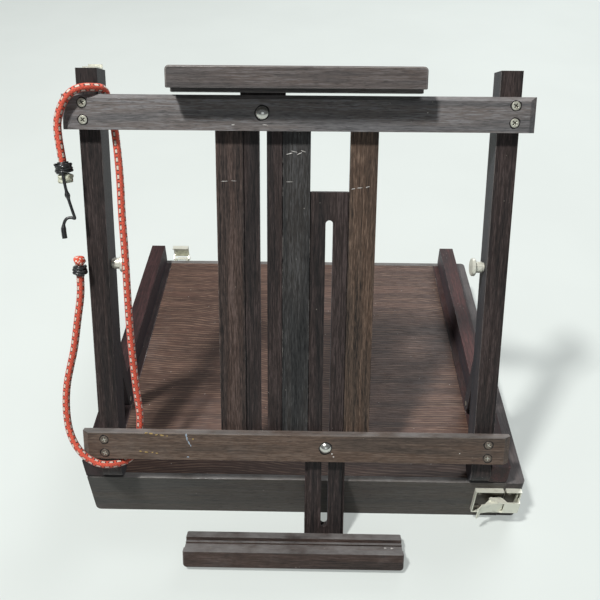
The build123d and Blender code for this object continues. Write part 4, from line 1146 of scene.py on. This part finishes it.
def paint_material(name, tone):
    shader = Shader(name)
    place = shader.place()
    cloud = shader.noise(place, 700.0, 3.0)
    shader.connect("Base Color", shader.mix(shader.between(cloud, 0.3, 0.7), scaled(tone, 0.62), tone))
    shader.connect("Roughness", shader.spread(cloud, 0.4, 0.7))
    shader.connect("Normal", shader.bump(cloud, 0.00005, 0.5))
    return shader.material


def make_marks():
    chance = random.Random(11)
    sideways = Vector((1, 0, 0))
    for index, (body, face, level, tone, marks) in enumerate(MARKS):
        shape = bmesh.new()
        for x, second, length, width, tilt in marks:
            turn = math.radians(tilt)
            if face == "front":
                middle, other, out = on_frame(x, second, level), UP, FRONT
            else:
                middle, other, out = on_frame(x, level, second), FRONT, UP
            along = sideways * math.cos(turn) + other * math.sin(turn)
            over = other * math.cos(turn) - sideways * math.sin(turn)
            add_mark(shape, chance, middle, along, over, out, length, width)
        bmesh.ops.recalc_face_normals(shape, faces=shape.faces)
        paint = paint_material("dried_paint_%d" % index, tone)
        piece = new_piece("paint_marks_%d" % index, finished(shape, "paint_marks"), paint)
        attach(piece, body)


make_marks()


# ---- floor and light ----

FLOOR_SEEN = (0.74, 0.79, 0.76)
FLOOR_GLOW = 0.45
FLOOR_BOUNCE = (0.30, 0.32, 0.31)
FLOOR_HALF = 6.0
WORLD_SEEN = 0.85
WORLD_LIGHT = 0.13
LIGHT_TO = Vector((-0.33, -0.24, 0.91))
KEY_AWAY = 3.0
LAMP_AIM = Vector((0.0, 0.0, 0.15))

# Each lamp's name, place, size, watts and tone.
LAMPS = (
    ("key", LAMP_AIM + LIGHT_TO * KEY_AWAY, (0.28, 0.28), 86.0, (1.0, 0.99, 0.97)),
    ("front_fill", (0.3, -2.4, 1.1), (1.6, 1.0), 4.5, (0.90, 0.96, 1.0)),
    ("back_light", (1.2, 1.9, 2.0), (1.8, 1.2), 42.0, (0.97, 0.985, 1.0)),
)


def make_floor():
    """A plain pale floor. Where it is seen directly or reflected, part of its tone is its own
    glow, so the object's shadow on it is soft and pale."""
    mesh = bpy.data.meshes.new("floor")
    corners = [(-FLOOR_HALF, -FLOOR_HALF, FLOOR_Z), (FLOOR_HALF, -FLOOR_HALF, FLOOR_Z),
               (FLOOR_HALF, FLOOR_HALF, FLOOR_Z), (-FLOOR_HALF, FLOOR_HALF, FLOOR_Z)]
    mesh.from_pydata(corners, [], [(0, 1, 2, 3)])
    shader = Shader("floor_pale")
    cloud = shader.between(shader.noise(shader.place(), 3.0, 3.0), 0.3, 0.7)
    seen = shader.mix(cloud, scaled(FLOOR_SEEN, 0.97), FLOOR_SEEN)
    rays = shader.node("ShaderNodeLightPath").outputs
    direct = shader.math("MAXIMUM", rays["Is Camera Ray"], rays["Is Glossy Ray"])
    pale = scaled(FLOOR_SEEN, 1 - FLOOR_GLOW)
    lit = shader.mix(cloud, scaled(pale, 0.97), pale)
    shader.connect("Base Color", shader.mix(direct, FLOOR_BOUNCE, lit))
    shader.connect("Emission Color", seen)
    shader.connect("Emission Strength", shader.times(direct, FLOOR_GLOW))
    shader.set(Roughness=0.75)
    floor = new_piece("floor", mesh, shader.material, smooth=False)


def make_world():
    world = bpy.data.worlds.new("studio")
    scene.world = world
    world.use_nodes = True
    tree = world.node_tree
    background = tree.nodes["Background"]
    background.inputs["Color"].default_value = (0.92, 0.96, 1.0, 1.0)
    rays = tree.nodes.new("ShaderNodeLightPath")
    strength = tree.nodes.new("ShaderNodeMapRange")
    strength.inputs["To Min"].default_value = WORLD_LIGHT
    strength.inputs["To Max"].default_value = WORLD_SEEN
    tree.links.new(rays.outputs["Is Camera Ray"], strength.inputs["Value"])
    tree.links.new(strength.outputs["Result"], background.inputs["Strength"])


def area_light(name, place, size, power, tone):
    data = bpy.data.lights.new(name, "AREA")
    data.shape = "RECTANGLE"
    data.size, data.size_y = size
    data.energy = power
    data.color = tone
    lamp = bpy.data.objects.new(name, data)
    scene.collection.objects.link(lamp)
    lamp.location = place
    lamp.rotation_mode = "QUATERNION"
    lamp.rotation_quaternion = (LAMP_AIM - Vector(place)).to_track_quat("-Z", "Y")


def make_lights():
    for lamp in LAMPS:
        area_light(*lamp)


make_floor()
make_world()
make_lights()

scene.view_settings.view_transform = "Standard"
